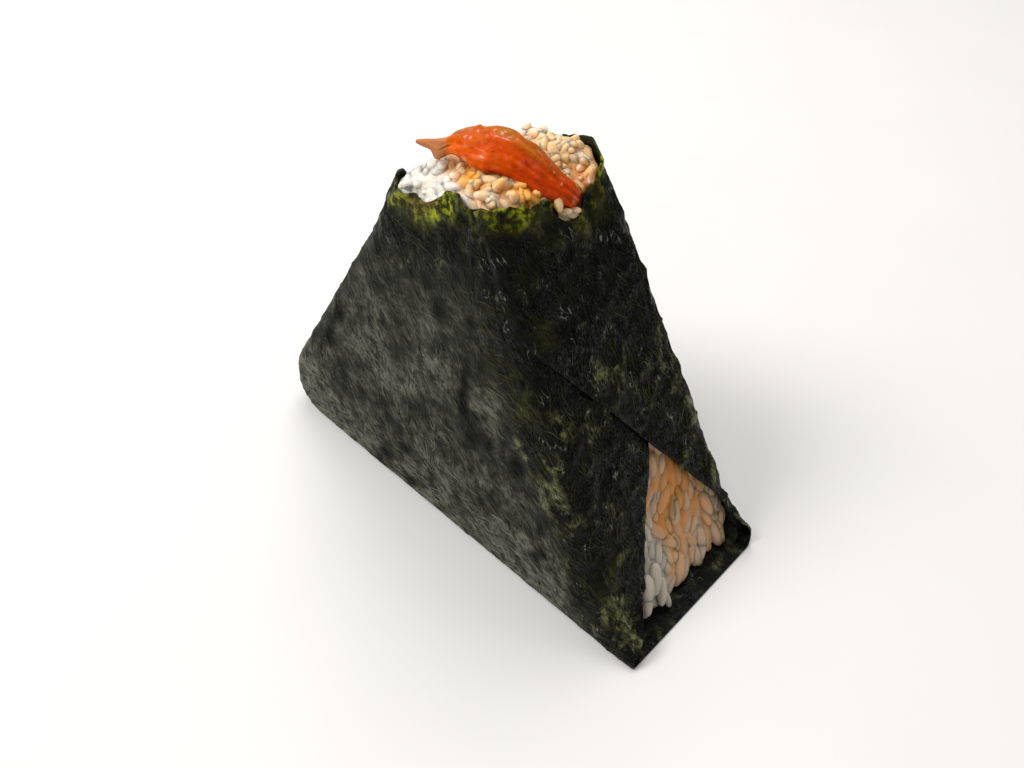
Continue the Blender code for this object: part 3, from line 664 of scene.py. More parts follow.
def base_grid(wall, foot):
    """The base that joins the foot of the walls, as index numbers and new points. Lines run across from the
    front foot to the back foot, and near the closed end they bow like its wall, by the square of the way."""
    half = FLAP_COLUMNS + FACE_COLUMNS
    back = foot[half::-1]
    front = foot[half + END_COLUMNS:]
    closed = foot[half:half + END_COLUMNS + 1][::-1]
    across = np.linspace(0.0, 1.0, END_COLUMNS + 1)[None, :, None]
    share = (np.arange(half + 1) / half)[:, None, None]
    straight = blend(wall[front][:, None], wall[back][:, None], across)
    bow = wall[closed] - blend(wall[closed[0]], wall[closed[-1]], across[0])
    lines = straight + bow[None] * (1 - share) ** 2
    index = np.empty((half + 1, END_COLUMNS + 1), dtype=np.int64)
    index[0] = closed
    index[:, 0] = front
    index[:, -1] = back
    index[1:, 1:-1] = len(wall) + np.arange(half * (END_COLUMNS - 1)).reshape(half, -1)
    return index, lines[1:, 1:-1].reshape(-1, 3)


def grid_faces(index):
    """Four-sided faces between neighbouring rows and columns of an array of point numbers."""
    return np.stack([index[:-1, :-1], index[:-1, 1:], index[1:, 1:], index[1:, :-1]], axis=-1).reshape(-1, 4)


def tube_faces(rings, sides):
    """Faces of a closed tube of rings whose first and last points are its poles."""
    ring = 1 + np.arange(rings * sides).reshape(rings, sides)
    turned = np.roll(ring, -1, axis=1)
    walls = np.stack([ring[:-1], turned[:-1], turned[1:], ring[1:]], axis=-1).reshape(-1, 4)
    first = np.stack([np.zeros(sides, np.int64), turned[0], ring[0]], axis=-1)
    last = np.stack([ring[-1], turned[-1], np.full(sides, rings * sides + 1)], axis=-1)
    return walls, np.concatenate([first, last])


def mesh_piece(name, points, quads, triangles, material):
    """A smooth-shaded object of these points and faces, with the origin at zero."""
    mesh = bpy.data.meshes.new(name)
    quads = np.asarray(quads, np.int32).reshape(-1, 4)
    triangles = np.asarray(triangles, np.int32).reshape(-1, 3)
    mesh.vertices.add(len(points))
    mesh.vertices.foreach_set("co", np.asarray(points, np.float32).ravel())
    mesh.loops.add(quads.size + triangles.size)
    mesh.loops.foreach_set("vertex_index", np.concatenate([quads.ravel(), triangles.ravel()]))
    mesh.polygons.add(len(quads) + len(triangles))
    starts = np.concatenate([np.arange(len(quads)) * 4, quads.size + np.arange(len(triangles)) * 3])
    mesh.polygons.foreach_set("loop_start", starts.astype(np.int32))
    mesh.update(calc_edges=True)
    mesh.shade_smooth()
    mesh.materials.append(material)
    piece = bpy.data.objects.new(name, mesh)
    bpy.context.scene.collection.objects.link(piece)
    return piece


def paint(piece, name, values):
    """Store one number or one colour for each point of a piece, for its material to read."""
    if values.ndim == 1:
        layer = piece.data.attributes.new(name, "FLOAT", "POINT")
        layer.data.foreach_set("value", values.astype(np.float32))
    else:
        layer = piece.data.attributes.new(name, "FLOAT_COLOR", "POINT")
        solid = np.concatenate([values, np.ones((len(values), 1))], axis=1)
        layer.data.foreach_set("color", solid.astype(np.float32).ravel())


def settle(piece, slot, *nodes):
    """Attach a finished piece to the root and hide the solids that it stands for. The slot is not used."""
    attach(piece, "root")
    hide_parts(*nodes)


def connect(tree, node, inputs):
    """Link each input that is given a socket, and set each one that is given a value."""
    for name, value in inputs.items():
        if isinstance(value, bpy.types.NodeSocket):
            tree.links.new(value, node.inputs[name])
        else:
            node.inputs[name].default_value = value


def add_node(tree, kind, inputs, **settings):
    """A shader node with these inputs and settings."""
    made = tree.nodes.new(kind)
    for name, value in settings.items():
        setattr(made, name, value)
    connect(tree, made, inputs)
    return made


def maths(tree, operation, first, second=0.0, clamp=False):
    """The result of one Math node."""
    made = add_node(tree, "ShaderNodeMath", {0: first, 1: second}, operation=operation, use_clamp=clamp)
    return made.outputs[0]


def plus(tree, first, second):
    """The sum of two values."""
    return maths(tree, "ADD", first, second)


def times(tree, first, second, clamp=False):
    """The product of two values."""
    return maths(tree, "MULTIPLY", first, second, clamp)


def rest_of(tree, value):
    """One minus a value."""
    return maths(tree, "SUBTRACT", 1.0, value)


def mix(tree, share, first, second, kind="MIX"):
    """Two colours, each a socket or three numbers, mixed by a share."""
    made = add_node(tree, "ShaderNodeMix", {0: share}, data_type="RGBA", blend_type=kind)
    for number, value in ((6, first), (7, second)):
        colour = value if isinstance(value, bpy.types.NodeSocket) else (*value[:3], 1.0)
        connect(tree, made, {number: colour})
    return made.outputs[2]


def stretch_to(tree, value, low, high, new_low=0.0, new_high=1.0):
    """A value from one range carried over to another, held at its ends."""
    inputs = {"Value": value, "From Min": low, "From Max": high, "To Min": new_low, "To Max": new_high}
    return add_node(tree, "ShaderNodeMapRange", inputs, clamp=True).outputs[0]


def speckle(tree, vector, size, detail=2.0, roughness=0.5):
    """Noise with lumps of about this size in metres."""
    inputs = {"Vector": vector, "Scale": 1.0 / size, "Detail": detail, "Roughness": roughness}
    return add_node(tree, "ShaderNodeTexNoise", inputs).outputs["Fac"]


def attribute(tree, name, output="Fac"):
    """A value that is painted on the points of a piece."""
    return add_node(tree, "ShaderNodeAttribute", {}, attribute_name=name).outputs[output]


def bump(tree, height, strength, distance):
    """The normal of a surface with this relief."""
    inputs = {"Height": height, "Strength": strength, "Distance": distance}
    return add_node(tree, "ShaderNodeBump", inputs).outputs[0]


def new_material(name):
    """A material with its tree and Principled node, and a socket of Object coordinates."""
    material = bpy.data.materials.new(name)
    material.use_nodes = True
    tree = material.node_tree
    surface = tree.nodes["Principled BSDF"]
    place = tree.nodes.new("ShaderNodeTexCoord").outputs["Object"]
    return material, tree, surface, place


def fibre_web_group():
    """A web of curved strands that run along X after the turn. Each layer is a noise on warped, stretched
    coordinates, and a strand shows where it crosses its middle value. Built once."""
    name = "Fibre Web"
    if name in bpy.data.node_groups:
        return bpy.data.node_groups[name]
    tree = bpy.data.node_groups.new(name, "ShaderNodeTree")
    tree.interface.new_socket("Vector", in_out="INPUT", socket_type="NodeSocketVector")
    tree.interface.new_socket("Turn", in_out="INPUT", socket_type="NodeSocketVector")
    tree.interface.new_socket("Strands", in_out="OUTPUT", socket_type="NodeSocketFloat")
    tree.interface.new_socket("Fine", in_out="OUTPUT", socket_type="NodeSocketFloat")
    given = tree.nodes.new("NodeGroupInput")
    result = tree.nodes.new("NodeGroupOutput")
    vector = given.outputs["Vector"]
    warped = vector
    for size, reach in ((0.009, 0.0045), (0.0016, 0.0009)):
        bend = add_node(tree, "ShaderNodeTexNoise", {"Vector": vector, "Scale": 1.0 / size, "Detail": 1.0})
        inputs = {0: bend.outputs["Color"], 1: (0.5, 0.5, 0.5)}
        shift = add_node(tree, "ShaderNodeVectorMath", inputs, operation="SUBTRACT")
        inputs = {0: shift.outputs[0], "Scale": reach}
        shift = add_node(tree, "ShaderNodeVectorMath", inputs, operation="SCALE")
        warped = add_node(tree, "ShaderNodeVectorMath", {0: warped, 1: shift.outputs[0]}).outputs[0]
    layers = []
    for length, width, tilt, sharp in ((0.0042, 0.00080, 0.0, 6.0), (0.0034, 0.00060, 0.55, 6.5),
                                       (0.0034, 0.00062, -0.50, 6.5), (0.0016, 0.00028, 0.15, 4.5)):
        turned = add_node(tree, "ShaderNodeVectorMath", {0: given.outputs["Turn"], 1: (0.0, tilt, 0.0)})
        inputs = {"Vector": warped, "Rotation": turned.outputs[0], "Scale": (length, width, width)}
        mapped = add_node(tree, "ShaderNodeMapping", inputs, vector_type="TEXTURE").outputs[0]
        off = maths(tree, "ABSOLUTE", maths(tree, "SUBTRACT", speckle(tree, mapped, 1.0, 1.0, 0.4), 0.5))
        crest = maths(tree, "SUBTRACT", 1.0, times(tree, off, sharp), clamp=True)
        break_up = add_node(tree, "ShaderNodeVectorMath", {0: vector, 1: (tilt, tilt, tilt)})
        here = stretch_to(tree, speckle(tree, break_up.outputs[0], 0.0030, 1.0), 0.42, 0.60, 0.15, 1.0)
        layers.append(times(tree, crest, here))
    strands = maths(tree, "MAXIMUM", layers[0], times(tree, layers[1], 0.95))
    strands = maths(tree, "MAXIMUM", strands, times(tree, layers[2], 0.9))
    tree.links.new(strands, result.inputs["Strands"])
    tree.links.new(layers[3], result.inputs["Fine"])
    return tree


def fibre_web(tree, place, slope, lean):
    """The fibre web turned to run down a face with this slope and lean."""
    group = add_node(tree, "ShaderNodeGroup", {}, node_tree=fibre_web_group())
    connect(tree, group, {"Vector": place, "Turn": (lean, slope, 0.0)})
    return group.outputs["Strands"], group.outputs["Fine"]


def nori_material(look, inner):
    """Dark seaweed with a web of paler fibres. Wet places are darker and glossier, with painted highlights as
    pale strokes, and thin ones glow green.
    """
    material, tree, surface, place = new_material("nori inner" if inner else "nori outer")
    wet, green, ends = (attribute(tree, name) for name in ("wet", "green", "ends"))
    face_strands, face_fine = fibre_web(tree, place, FACE_FIBRE_SLOPE, 0.0)
    end_strands, end_fine = fibre_web(tree, place, BASE_ANGLE, END_FIBRE_LEAN)
    strands = plus(tree, times(tree, face_strands, rest_of(tree, ends)), times(tree, end_strands, ends))
    fine = maths(tree, "MAXIMUM", times(tree, face_fine, 0.6), times(tree, end_fine, 0.5))
    clump = stretch_to(tree, speckle(tree, place, 0.0014), 0.36, 0.60, 0.35, 1.15)
    cloud = times(tree, attribute(tree, "mottle"), clump)
    amount = plus(tree, times(tree, strands, 0.75), times(tree, fine, 0.45))
    amount = times(tree, amount, cloud, clamp=True)
    dry = mix(tree, amount, look.dry_dark, look.dry_light)
    damp = mix(tree, stretch_to(tree, amount, 0.15, 0.72), look.wet_dark, look.wet_light)
    # Painted highlights: sparse pale strokes in wet places, where the end fibres crest and a noise allows.
    here = stretch_to(tree, speckle(tree, place, 0.0030), 0.57, 0.64)
    glint = times(tree, stretch_to(tree, end_strands, 0.84, 0.97), here)
    damp = mix(tree, times(tree, glint, 0.6), damp, look.glint)
    colour = mix(tree, wet, dry, damp)
    vein = stretch_to(tree, speckle(tree, place, 0.0009), 0.42, 0.58, 0.1, 0.9)
    bright = stretch_to(tree, times(tree, green, plus(tree, amount, vein)), 0.10, 0.90)
    leaf = stretch_to(tree, speckle(tree, place, 0.0060, 1.0), 0.46, 0.60)
    leaf = mix(tree, leaf, look.green, look.brown)
    glow = mix(tree, bright, [0.07 * part for part in look.green], leaf)
    here = stretch_to(tree, speckle(tree, place, 0.0024, 3.0), 0.34, 0.50)
    tint = times(tree, stretch_to(tree, green, 0.0, 0.45), here)
    colour = mix(tree, tint, colour, glow)
    if inner:
        colour = mix(tree, 0.30, colour, look.wet_dark)
    gloss = stretch_to(tree, speckle(tree, place, 0.004), 0.35, 0.65, 0.12, 0.36)
    soft = times(tree, speckle(tree, place, 0.0021), times(tree, wet, 2.2))
    crumb = plus(tree, speckle(tree, place, 0.0011, 3.0, 0.6), soft)
    height = plus(tree, times(tree, strands, 0.9), times(tree, crumb, 0.7))
    height = plus(tree, height, times(tree, fine, 0.3))
    connect(tree, surface, {
        "Base Color": colour,
        "Roughness": plus(tree, times(tree, gloss, wet), times(tree, rest_of(tree, wet), 0.70)),
        "Specular IOR Level": 0.10,
        "Normal": bump(tree, height, 0.9, 0.00028),
    })
    return material


def fibre_material(look):
    """The raised fibres: pale where they are dry, dark green where they are wet, each with its own tone."""
    material, tree, surface, place = new_material("nori fibre")
    wet, green, tone = (attribute(tree, name) for name in ("wet", "green", "tone"))
    dry = mix(tree, tone, look.dry_dark, look.dry_light)
    damp = mix(tree, times(tree, tone, 0.55), look.wet_dark, look.wet_light)
    colour = mix(tree, wet, dry, damp)
    colour = mix(tree, stretch_to(tree, green, 0.15, 0.9, 0.0, 0.7), colour, look.green)
    grain = stretch_to(tree, speckle(tree, place, 0.0012), 0.3, 0.7, 0.75, 1.15)
    connect(tree, surface, {
        "Base Color": mix(tree, 1.0, colour, grain, "MULTIPLY"),
        "Roughness": stretch_to(tree, wet, 0.0, 1.0, 0.58, 0.28),
        "Specular IOR Level": 0.10,
        "Normal": bump(tree, grain, 0.3, 0.00005),
    })
    return material


def rice_material():
    """Moist cooked rice: a soft, slightly clear body under a thin wet skin. Its stains are painted on."""
    material, tree, surface, place = new_material("cooked rice")
    cloud = stretch_to(tree, speckle(tree, place, 0.0016, 3.0), 0.3, 0.7, 0.93, 1.05)
    dents = plus(tree, speckle(tree, place, 0.0010), times(tree, speckle(tree, place, 0.0004), 0.3))
    connect(tree, surface, {
        "Base Color": mix(tree, 1.0, attribute(tree, "stain", "Color"), cloud, "MULTIPLY"),
        "Roughness": stretch_to(tree, speckle(tree, place, 0.0022), 0.3, 0.7, 0.26, 0.48),
        "Specular IOR Level": 0.28,
        "Subsurface Weight": 0.8,
        "Subsurface Radius": (1.0, 0.92, 0.80),
        "Subsurface Scale": 0.0018,
        "Normal": bump(tree, dents, 0.5, 0.0002),
    })
    return material


def kimchi_material(look):
    """Pickled cabbage under a wet red sauce. Its colours are painted on, and broken up by sauce specks."""
    material, tree, surface, place = new_material("kimchi")
    dull = attribute(tree, "dull")
    pool = stretch_to(tree, speckle(tree, place, 0.0022, 3.0), 0.54, 0.68)
    pool = times(tree, pool, maths(tree, "SUBTRACT", 0.5, times(tree, dull, 0.5)))
    colour = mix(tree, pool, attribute(tree, "sauce", "Color"), look.red)
    cloud = stretch_to(tree, speckle(tree, place, 0.0009), 0.3, 0.7, 0.88, 1.12)
    gloss = stretch_to(tree, speckle(tree, place, 0.002), 0.3, 0.7, 0.14, 0.32)
    shine = stretch_to(tree, speckle(tree, place, 0.0009), 0.54, 0.62)
    ripple = plus(tree, speckle(tree, place, 0.0022, 1.0), times(tree, speckle(tree, place, 0.0007), 0.15))
    connect(tree, surface, {
        "Base Color": mix(tree, 1.0, colour, cloud, "MULTIPLY"),
        "Roughness": plus(tree, gloss, times(tree, dull, 0.35)),
        "Coat Weight": times(tree, shine, rest_of(tree, dull)),
        "Coat Roughness": 0.06,
        "Specular IOR Level": 0.05,
        "Subsurface Weight": 0.30,
        "Subsurface Radius": (1.0, 0.30, 0.08),
        "Subsurface Scale": 0.0014,
        "Normal": bump(tree, ripple, 0.7, 0.0005),
    })
    return material


def flake_material():
    """Dried chilli: dark red flakes, some of them orange."""
    material, tree, surface, place = new_material("chilli flake")
    shade = stretch_to(tree, speckle(tree, place, 0.0015, 1.0), 0.4, 0.62)
    connect(tree, surface, {
        "Base Color": mix(tree, shade, FLAKE_DARK, FLAKE_BRIGHT),
        "Roughness": stretch_to(tree, shade, 0.0, 1.0, 0.25, 0.45),
    })
    return material


def floor_material(look):
    """A pale matte floor with the faintest clouds."""
    material, tree, surface, place = new_material("pale floor")
    cloud = stretch_to(tree, speckle(tree, place, 0.05, 3.0), 0.3, 0.7, 0.985, 1.01)
    connect(tree, surface, {
        "Base Color": mix(tree, 1.0, look.floor, cloud, "MULTIPLY"),
        "Roughness": 0.85,
        "Specular IOR Level": 0.2,
    })
    return material


def sample_grid(grid, row, column):
    """Values of a grid between its points, blended from the four nearest."""
    low = np.clip(np.floor(row).astype(int), 0, grid.shape[0] - 2)
    left = np.clip(np.floor(column).astype(int), 0, grid.shape[1] - 2)
    up = row - low
    across = column - left
    if grid.ndim == 3:
        up = up[..., None]
        across = across[..., None]
    near = blend(grid[low, left], grid[low, left + 1], across)
    far = blend(grid[low + 1, left], grid[low + 1, left + 1], across)
    return blend(near, far, up)


def ring_reach(z, angle):
    """How far the rice stands from the middle in each direction: a rectangle whose corners are rounded by
    the seventh power."""
    side = np.where(np.cos(angle) > 0, slope_wall(z, RICE_FOOT_ROUND, RICE_INSET), closed_wall(z, RICE_INSET))
    face = face_wall(z, RICE_INSET)
    power = 7.0
    size = (np.abs(np.cos(angle)) / side) ** power + (np.abs(np.sin(angle)) / face) ** power
    return size ** (-1 / power)


def inner_side(look):
    """The reach from the middle and the height of the sheet's inner side, for its rows near the rim and for
    directions all round. Where two layers overlap, the nearer one counts."""
    points, normals, *_ = nori_surface(look)
    inner = points[-RIM_ROWS:] + MIDDLE - normals[-RIM_ROWS:] * look.thickness
    directions = 2 * math.pi * np.arange(DIRECTIONS + 1) / DIRECTIONS
    table = []
    for row in inner:
        layers = []
        for layer in (row[:FLAP_COLUMNS + 1], row[FLAP_COLUMNS:]):
            angle = np.unwrap(np.arctan2(layer[:, 1], layer[:, 0]))
            reach = np.hypot(layer[:, 0], layer[:, 1])
            for turn in (-2 * math.pi, 0.0, 2 * math.pi):
                out = np.interp(directions + turn, angle, reach, left=1.0, right=1.0)
                layers.append((out, np.interp(directions + turn, angle, layer[:, 2])))
        reach, height = np.array(layers).transpose(1, 0, 2)
        nearest = np.argmin(reach, axis=0)[None]
        table.append((np.take_along_axis(reach, nearest, 0)[0], np.take_along_axis(height, nearest, 0)[0]))
    reach, height = np.array(table).transpose(1, 0, 2)
    for step in (1, -1):
        reach = np.minimum(reach, np.roll(reach, step, axis=1))
    return np.stack([reach, height], axis=-1)


def column_at(angle):
    """The column of the inner side's table for each direction."""
    return angle % (2 * math.pi) / (2 * math.pi) * DIRECTIONS


def levels_at(wall, angle):
    """The heights of the sheet's rows near the rim in each direction. The last is the torn rim itself."""
    column = column_at(angle)
    return [sample_grid(wall[..., 1], 0 * column + row, column) for row in range(RIM_ROWS)]


def room(wall, z, angle):
    """How far the rice may reach: up to the sheet's inner side near the rim, and above it no further."""
    levels = levels_at(wall, angle)
    steps = ((z - low) / np.maximum(high - low, 1e-6) for low, high in zip(levels, levels[1:]))
    row = sum(np.clip(step, 0.0, 1.0) for step in steps)
    gap = SNUG_GAP * (1 + 3 * ease((levels[-1] - z) / 0.002 - 0.4))
    snug = sample_grid(wall[..., 0], row, column_at(angle) + 0 * row) - gap
    return blend(ring_reach(np.minimum(z, CROWN_TOP), angle), snug, ease((z - levels[0]) / 0.006))


def heap_height(wall, x, y):
    """The height of the heap over each place: from just under the torn rim it rises by 1 - r^3, where r is
    the share of the way out to the sheet, and its top slopes down towards the closed end."""
    angle = np.arctan2(y, x)
    share = np.clip(np.hypot(x, y) / room(wall, 1.0, angle), 0.0, 1.0)
    start = levels_at(wall, angle)[-1] - HEAP_BELOW_RIM
    top = HEAP_TOP + HEAP_SLOPE * np.minimum(x - HEAP_LEVEL_FROM, 0.0) * (0.5 + y / BASE_THICKNESS)
    return start + (top - start) * (1 - share ** 3)


def strip_distance(points):
    """How far each point lies from the edge of the showing kimchi strip: the distance to the nearest point of
    its middle line, less its half width there."""
    line, sizes, _, _, place = kimchi_line()
    shown = np.flatnonzero(place < KIMCHI_SHOWN)[::3]
    away = np.linalg.norm(points[:, None] - line[None, shown], axis=-1)
    nearest = np.argmin(away, axis=1)
    return away[np.arange(len(points)), nearest] - sizes[shown[nearest], 0]


def stain_of(points, look, depth):
    """The colour of rice at each place, in the wedge's own frame. On the heap it is plain at the closed end,
    soaked beside the kimchi and faintly stained elsewhere, but paler in the pile at the back and in the rim's
    dip, where the paler colour is partly the rice's own and partly painted light against the kimchi's shadow.
    In the open corner it is plain in front and at the bottom, and soaked in the middle, and all of it is
    darkened by painted shade, its plain rice most. Deeper rice is soaked more."""
    x, y, z = np.moveaxis(points, -1, 0)
    patch = 0.5 + 0.5 * rough(points, 0.0045, 101)
    fine = 0.5 + 0.5 * rough(points, 0.0018, 102)
    on_heap = ease((z - 0.045) / 0.006)
    border = x + 2 * np.minimum(y + 0.0105, 0.0045) - 0.0023 + 0.004 * (patch - 0.5)
    faint_heap = ease(border / 0.0036 + 0.4)
    beside = ease(1.25 - strip_distance(points) / 0.0040) * blend(1.0, 0.30, ease((y + 0.003) / 0.004))
    wet_heap = beside * ease((x + 0.0035) / 0.003) * (0.60 + 0.9 * patch)
    wavy = 0.0016 * (patch - 0.5)
    behind = ease((y + 0.0003 + wavy) / 0.0018 + 0.5)
    higher = ease((z - 0.0155 + wavy) / 0.003 + 0.5)
    faint_corner = np.maximum(behind, higher)
    wet_corner = around((y, z), SOAKED_MIDDLE) * (0.20 + 1.3 * patch)
    wet_corner += 0.7 * around((y, z), SOAKED_LOW) * patch
    faint = blend(faint_corner, faint_heap, on_heap)
    soaked = blend(wet_corner, wet_heap, on_heap) * (0.5 + 0.7 * fine) * (1 + 0.6 * depth)
    # Paler in the rim's dip: partly the rice's own colour, partly painted light where the kimchi's shadow
    # falls.
    dip = 1 - 0.3 * around((x, y), PALE_DIP) * on_heap
    dip = dip - 0.7 * around((x, y), PALE_PILE) * on_heap
    paler = 1 + 0.38 * np.minimum(depth, 0.0) * (1 - on_heap)
    faint = faint * (dip * paler)
    soaked = soaked * dip + 0.30 * faint * np.maximum(depth, 0.0)
    # Painted shade: plain rice below the heap, which shows in the open corner, is darkened to 0.72.
    plain = np.array(look.white) * blend(0.72, 1.0, on_heap)[..., None]
    colour = blend(plain, np.array(look.peach), (faint * (0.65 + 0.45 * fine))[..., None])
    colour = blend(colour, np.array(look.yellow), np.clip(soaked, 0.0, 0.95)[..., None])
    # Painted shade: all rice below the heap is darkened to 0.70.
    return colour * blend(0.70, 1.0, on_heap)[..., None]


def kimchi_line():
    """Points, half sizes and frames along the kimchi strip. The path runs smoothly through its stations, with
    each span a cubic whose slopes are half the way between the neighbours, and the frame turns with it."""
    ends = np.concatenate([KIMCHI_STATIONS[:1], KIMCHI_STATIONS, KIMCHI_STATIONS[-1:]])
    place = np.arange((len(KIMCHI_STATIONS) - 1) * KIMCHI_STEPS + 1) / KIMCHI_STEPS
    span = np.minimum(place.astype(int), len(KIMCHI_STATIONS) - 2)
    t = (place - span)[:, None]
    before, here, there, after = (ends[span + n] for n in range(4))
    line = (here * (2 * t ** 3 - 3 * t ** 2 + 1) + (there - before) / 2 * (t ** 3 - 2 * t ** 2 + t)
            + there * (3 * t ** 2 - 2 * t ** 3) + (after - here) / 2 * (t ** 3 - t ** 2))
    line[:, 3:] = blend(here, there, t)[:, 3:]
    heading = unit(np.gradient(line[:, :3], axis=0))
    facing = np.empty_like(heading)
    latest = np.array(KIMCHI_FACING)
    for number, direction in enumerate(heading):
        latest = unit(latest - direction * (latest @ direction))
        facing[number] = latest
    return line[:, :3], line[:, 3:], np.cross(facing, heading), facing, place


def grain_shape():
    """Points of one cooked grain, from -1 to 1 each way: rings whose radius is the 0.42 power of 1 - t^2,
    blunter at one end, with the whole bent by t^2."""
    t = np.array(GRAIN_RINGS)[:, None]
    angle = 2 * math.pi * np.arange(GRAIN_SIDES)[None] / GRAIN_SIDES
    radius = (1 - t ** 2) ** 0.42 * (1 - 0.07 * t)
    rings = np.stack([t + 0 * angle, radius * np.cos(angle), radius * np.sin(angle)], axis=-1).reshape(-1, 3)
    shape = np.concatenate([[[-1.0, 0.0, 0.0]], rings, [[1.0, 0.0, 0.0]]])
    shape[:, 2] -= GRAIN_BEND * shape[:, 0] ** 2
    return shape


def grains_mesh(centres, along, facing, sizes, look, draw):
    """Points and faces of many grains. A grain's shape is scaled, squeezed a little at random and set on its
    own axes: along it, across it and the way that it faces."""
    shape = grain_shape()
    count = len(centres)
    along = unit(along)
    across = unit(np.cross(facing, along))
    up = np.cross(along, across)
    half = np.stack([
        look.grain_length / 2 * sizes * draw.uniform(0.88, 1.1, count),
        look.grain_width / 2 * sizes * draw.uniform(0.9, 1.12, count),
        look.grain_width / 2 * GRAIN_FLATNESS * sizes * draw.uniform(0.9, 1.1, count),
    ], axis=-1)
    local = shape[None] * half[:, None]
    axes = np.stack([along, across, up], axis=1)
    points = centres[:, None] + np.einsum("npk,nkd->npd", local, axes)
    points = points + GRAIN_WAVE * noise(points, 0.0016, 111)[..., None] * up[:, None]
    quads, triangles = tube_faces(len(GRAIN_RINGS), GRAIN_SIDES)
    shift = (np.arange(count) * len(shape))[:, None, None]
    return points, (quads[None] + shift).reshape(-1, 4), (triangles[None] + shift).reshape(-1, 3)


def spread(candidates, gap):
    """The candidates that lie at least this far from every earlier one that was kept."""
    kept = []
    for number, spot in enumerate(candidates):
        if not kept or np.min(np.linalg.norm(candidates[kept] - spot, axis=1)) > gap:
            kept.append(number)
    return np.array(kept)


def heap_grains(wall, draw, gap, sunk, steepest):
    """Grains spread over the heap at least this far apart, turned any way and tilted up to the steepest
    angle. Their upper ends are sunk below the heap's surface by an amount between the two given."""
    angle = draw.uniform(0, 2 * math.pi, CANDIDATES)
    share = np.sqrt(draw.uniform(0, 1, CANDIDATES))
    reach = (room(wall, 1.0, angle) - RIM_MARGIN) * share
    x, y = reach * np.cos(angle), reach * np.sin(angle)
    spots = np.stack([x, y, heap_height(wall, x, y)], axis=-1)
    spots = spots[spread(spots, gap)]
    step = SLOPE_STEP
    x, y = spots[:, 0], spots[:, 1]
    fall_x = (heap_height(wall, x + step, y) - heap_height(wall, x - step, y)) / step / 2
    fall_y = (heap_height(wall, x, y + step) - heap_height(wall, x, y - step)) / step / 2
    facing = unit(np.stack([-fall_x, -fall_y, 1 + 0 * x], axis=-1))
    tilt = steepest * draw.uniform(0.25, 1, (len(spots), 1))
    level = unit(np.cross(facing, draw.normal(0, 1, (len(spots), 3))))
    along = level * np.cos(tilt) + facing * np.sin(tilt)
    depth = draw.uniform(*sunk, (len(spots), 1)) + TILTED_DEPTH * np.sin(tilt)
    return spots - facing * depth, along, facing


def opening_edges(z):
    """The Y of the edges of the front and back flaps, between which the rice shows at the open corner."""
    return read_off(FRONT_FLAP_REACH, z) - half_thickness(z), half_thickness(z) - read_off(BACK_FLAP_REACH, z)


def corner_grains(draw, gap, sunk):
    """Grains in the opening at the foot of the open end, most of them pointing down the slope."""
    z = draw.uniform(*CORNER_HEIGHTS, CANDIDATES)
    front, back = opening_edges(z)
    y = draw.uniform(-CORNER_HALF_WIDTH, CORNER_HALF_WIDTH, CANDIDATES)
    fits = (y > front - UNDER_FLAP) & (y < back + UNDER_FLAP)
    outward = np.array([math.sin(BASE_ANGLE), 0.0, math.cos(BASE_ANGLE)])
    downhill = np.array([math.cos(BASE_ANGLE), 0.0, -math.sin(BASE_ANGLE)])
    spots = np.stack([slope_wall(z, RICE_FOOT_ROUND, RICE_INSET), y, z], axis=-1)[fits]
    spots = spots[spread(spots, gap)]
    count = len(spots)
    centres = spots - outward * draw.uniform(*sunk, count)[:, None]
    along = downhill + np.array([0.0, 1.0, 0.0]) * draw.normal(-0.25, 0.45, (count, 1))
    along = along + outward * draw.normal(0, 0.14, (count, 1))
    return centres, along, np.broadcast_to(outward, centres.shape)


def tuck_in(wall, points):
    """Points moved back inside the nori: towards the middle at each height, and at the open corner back to
    just under the flaps, between which they may stand a little proud."""
    x, y, z = np.moveaxis(points, -1, 0)
    inward = np.minimum(1.0, room(wall, z, np.arctan2(y, x)) / np.maximum(np.hypot(x, y), 1e-9))
    front, back = opening_edges(z)
    inside_opening = ease(np.minimum(y - front, back - y) / PROUD_FADE + 0.2)
    proud = blend(*PROUD_RANGE, inside_opening) / math.sin(BASE_ANGLE)
    in_corner = (x > 0) & (z < CORNER_TOP)
    corner_x = np.minimum(x, slope_wall(z, RICE_FOOT_ROUND, 0.0) + proud)
    face = face_wall(z, FACE_MARGIN)
    x = np.where(in_corner, corner_x, x * inward)
    y = np.where(in_corner, np.clip(y, -face, face), y * inward)
    return np.stack([x, y, np.maximum(z, LEAST_HEIGHT)], axis=-1)


def under_kimchi(points):
    """Points pressed down to the underside of the showing kimchi strip where they would cut into it."""
    line, sizes, across, facing, place = kimchi_line()
    shown = np.flatnonzero(place < KIMCHI_SHOWN - 0.5)
    away = np.linalg.norm(points[:, None] - line[None, shown], axis=-1)
    nearest = shown[np.argmin(away, axis=1)]
    offset = points - line[nearest]
    aside = np.sum(offset * across[nearest], axis=1) / sizes[nearest, 0]
    above = np.sum(offset * facing[nearest], axis=1)
    arch = np.sqrt(np.maximum(1.0 - aside ** 2, 0.0))
    ceiling = -0.8 * sizes[nearest, 1] * arch - KIMCHI_DROOP * sizes[nearest, 0] * aside ** 2
    press = np.where(np.abs(aside) < 1.0, np.maximum(above - ceiling, 0.0), 0.0)
    return points - facing[nearest] * press[:, None]


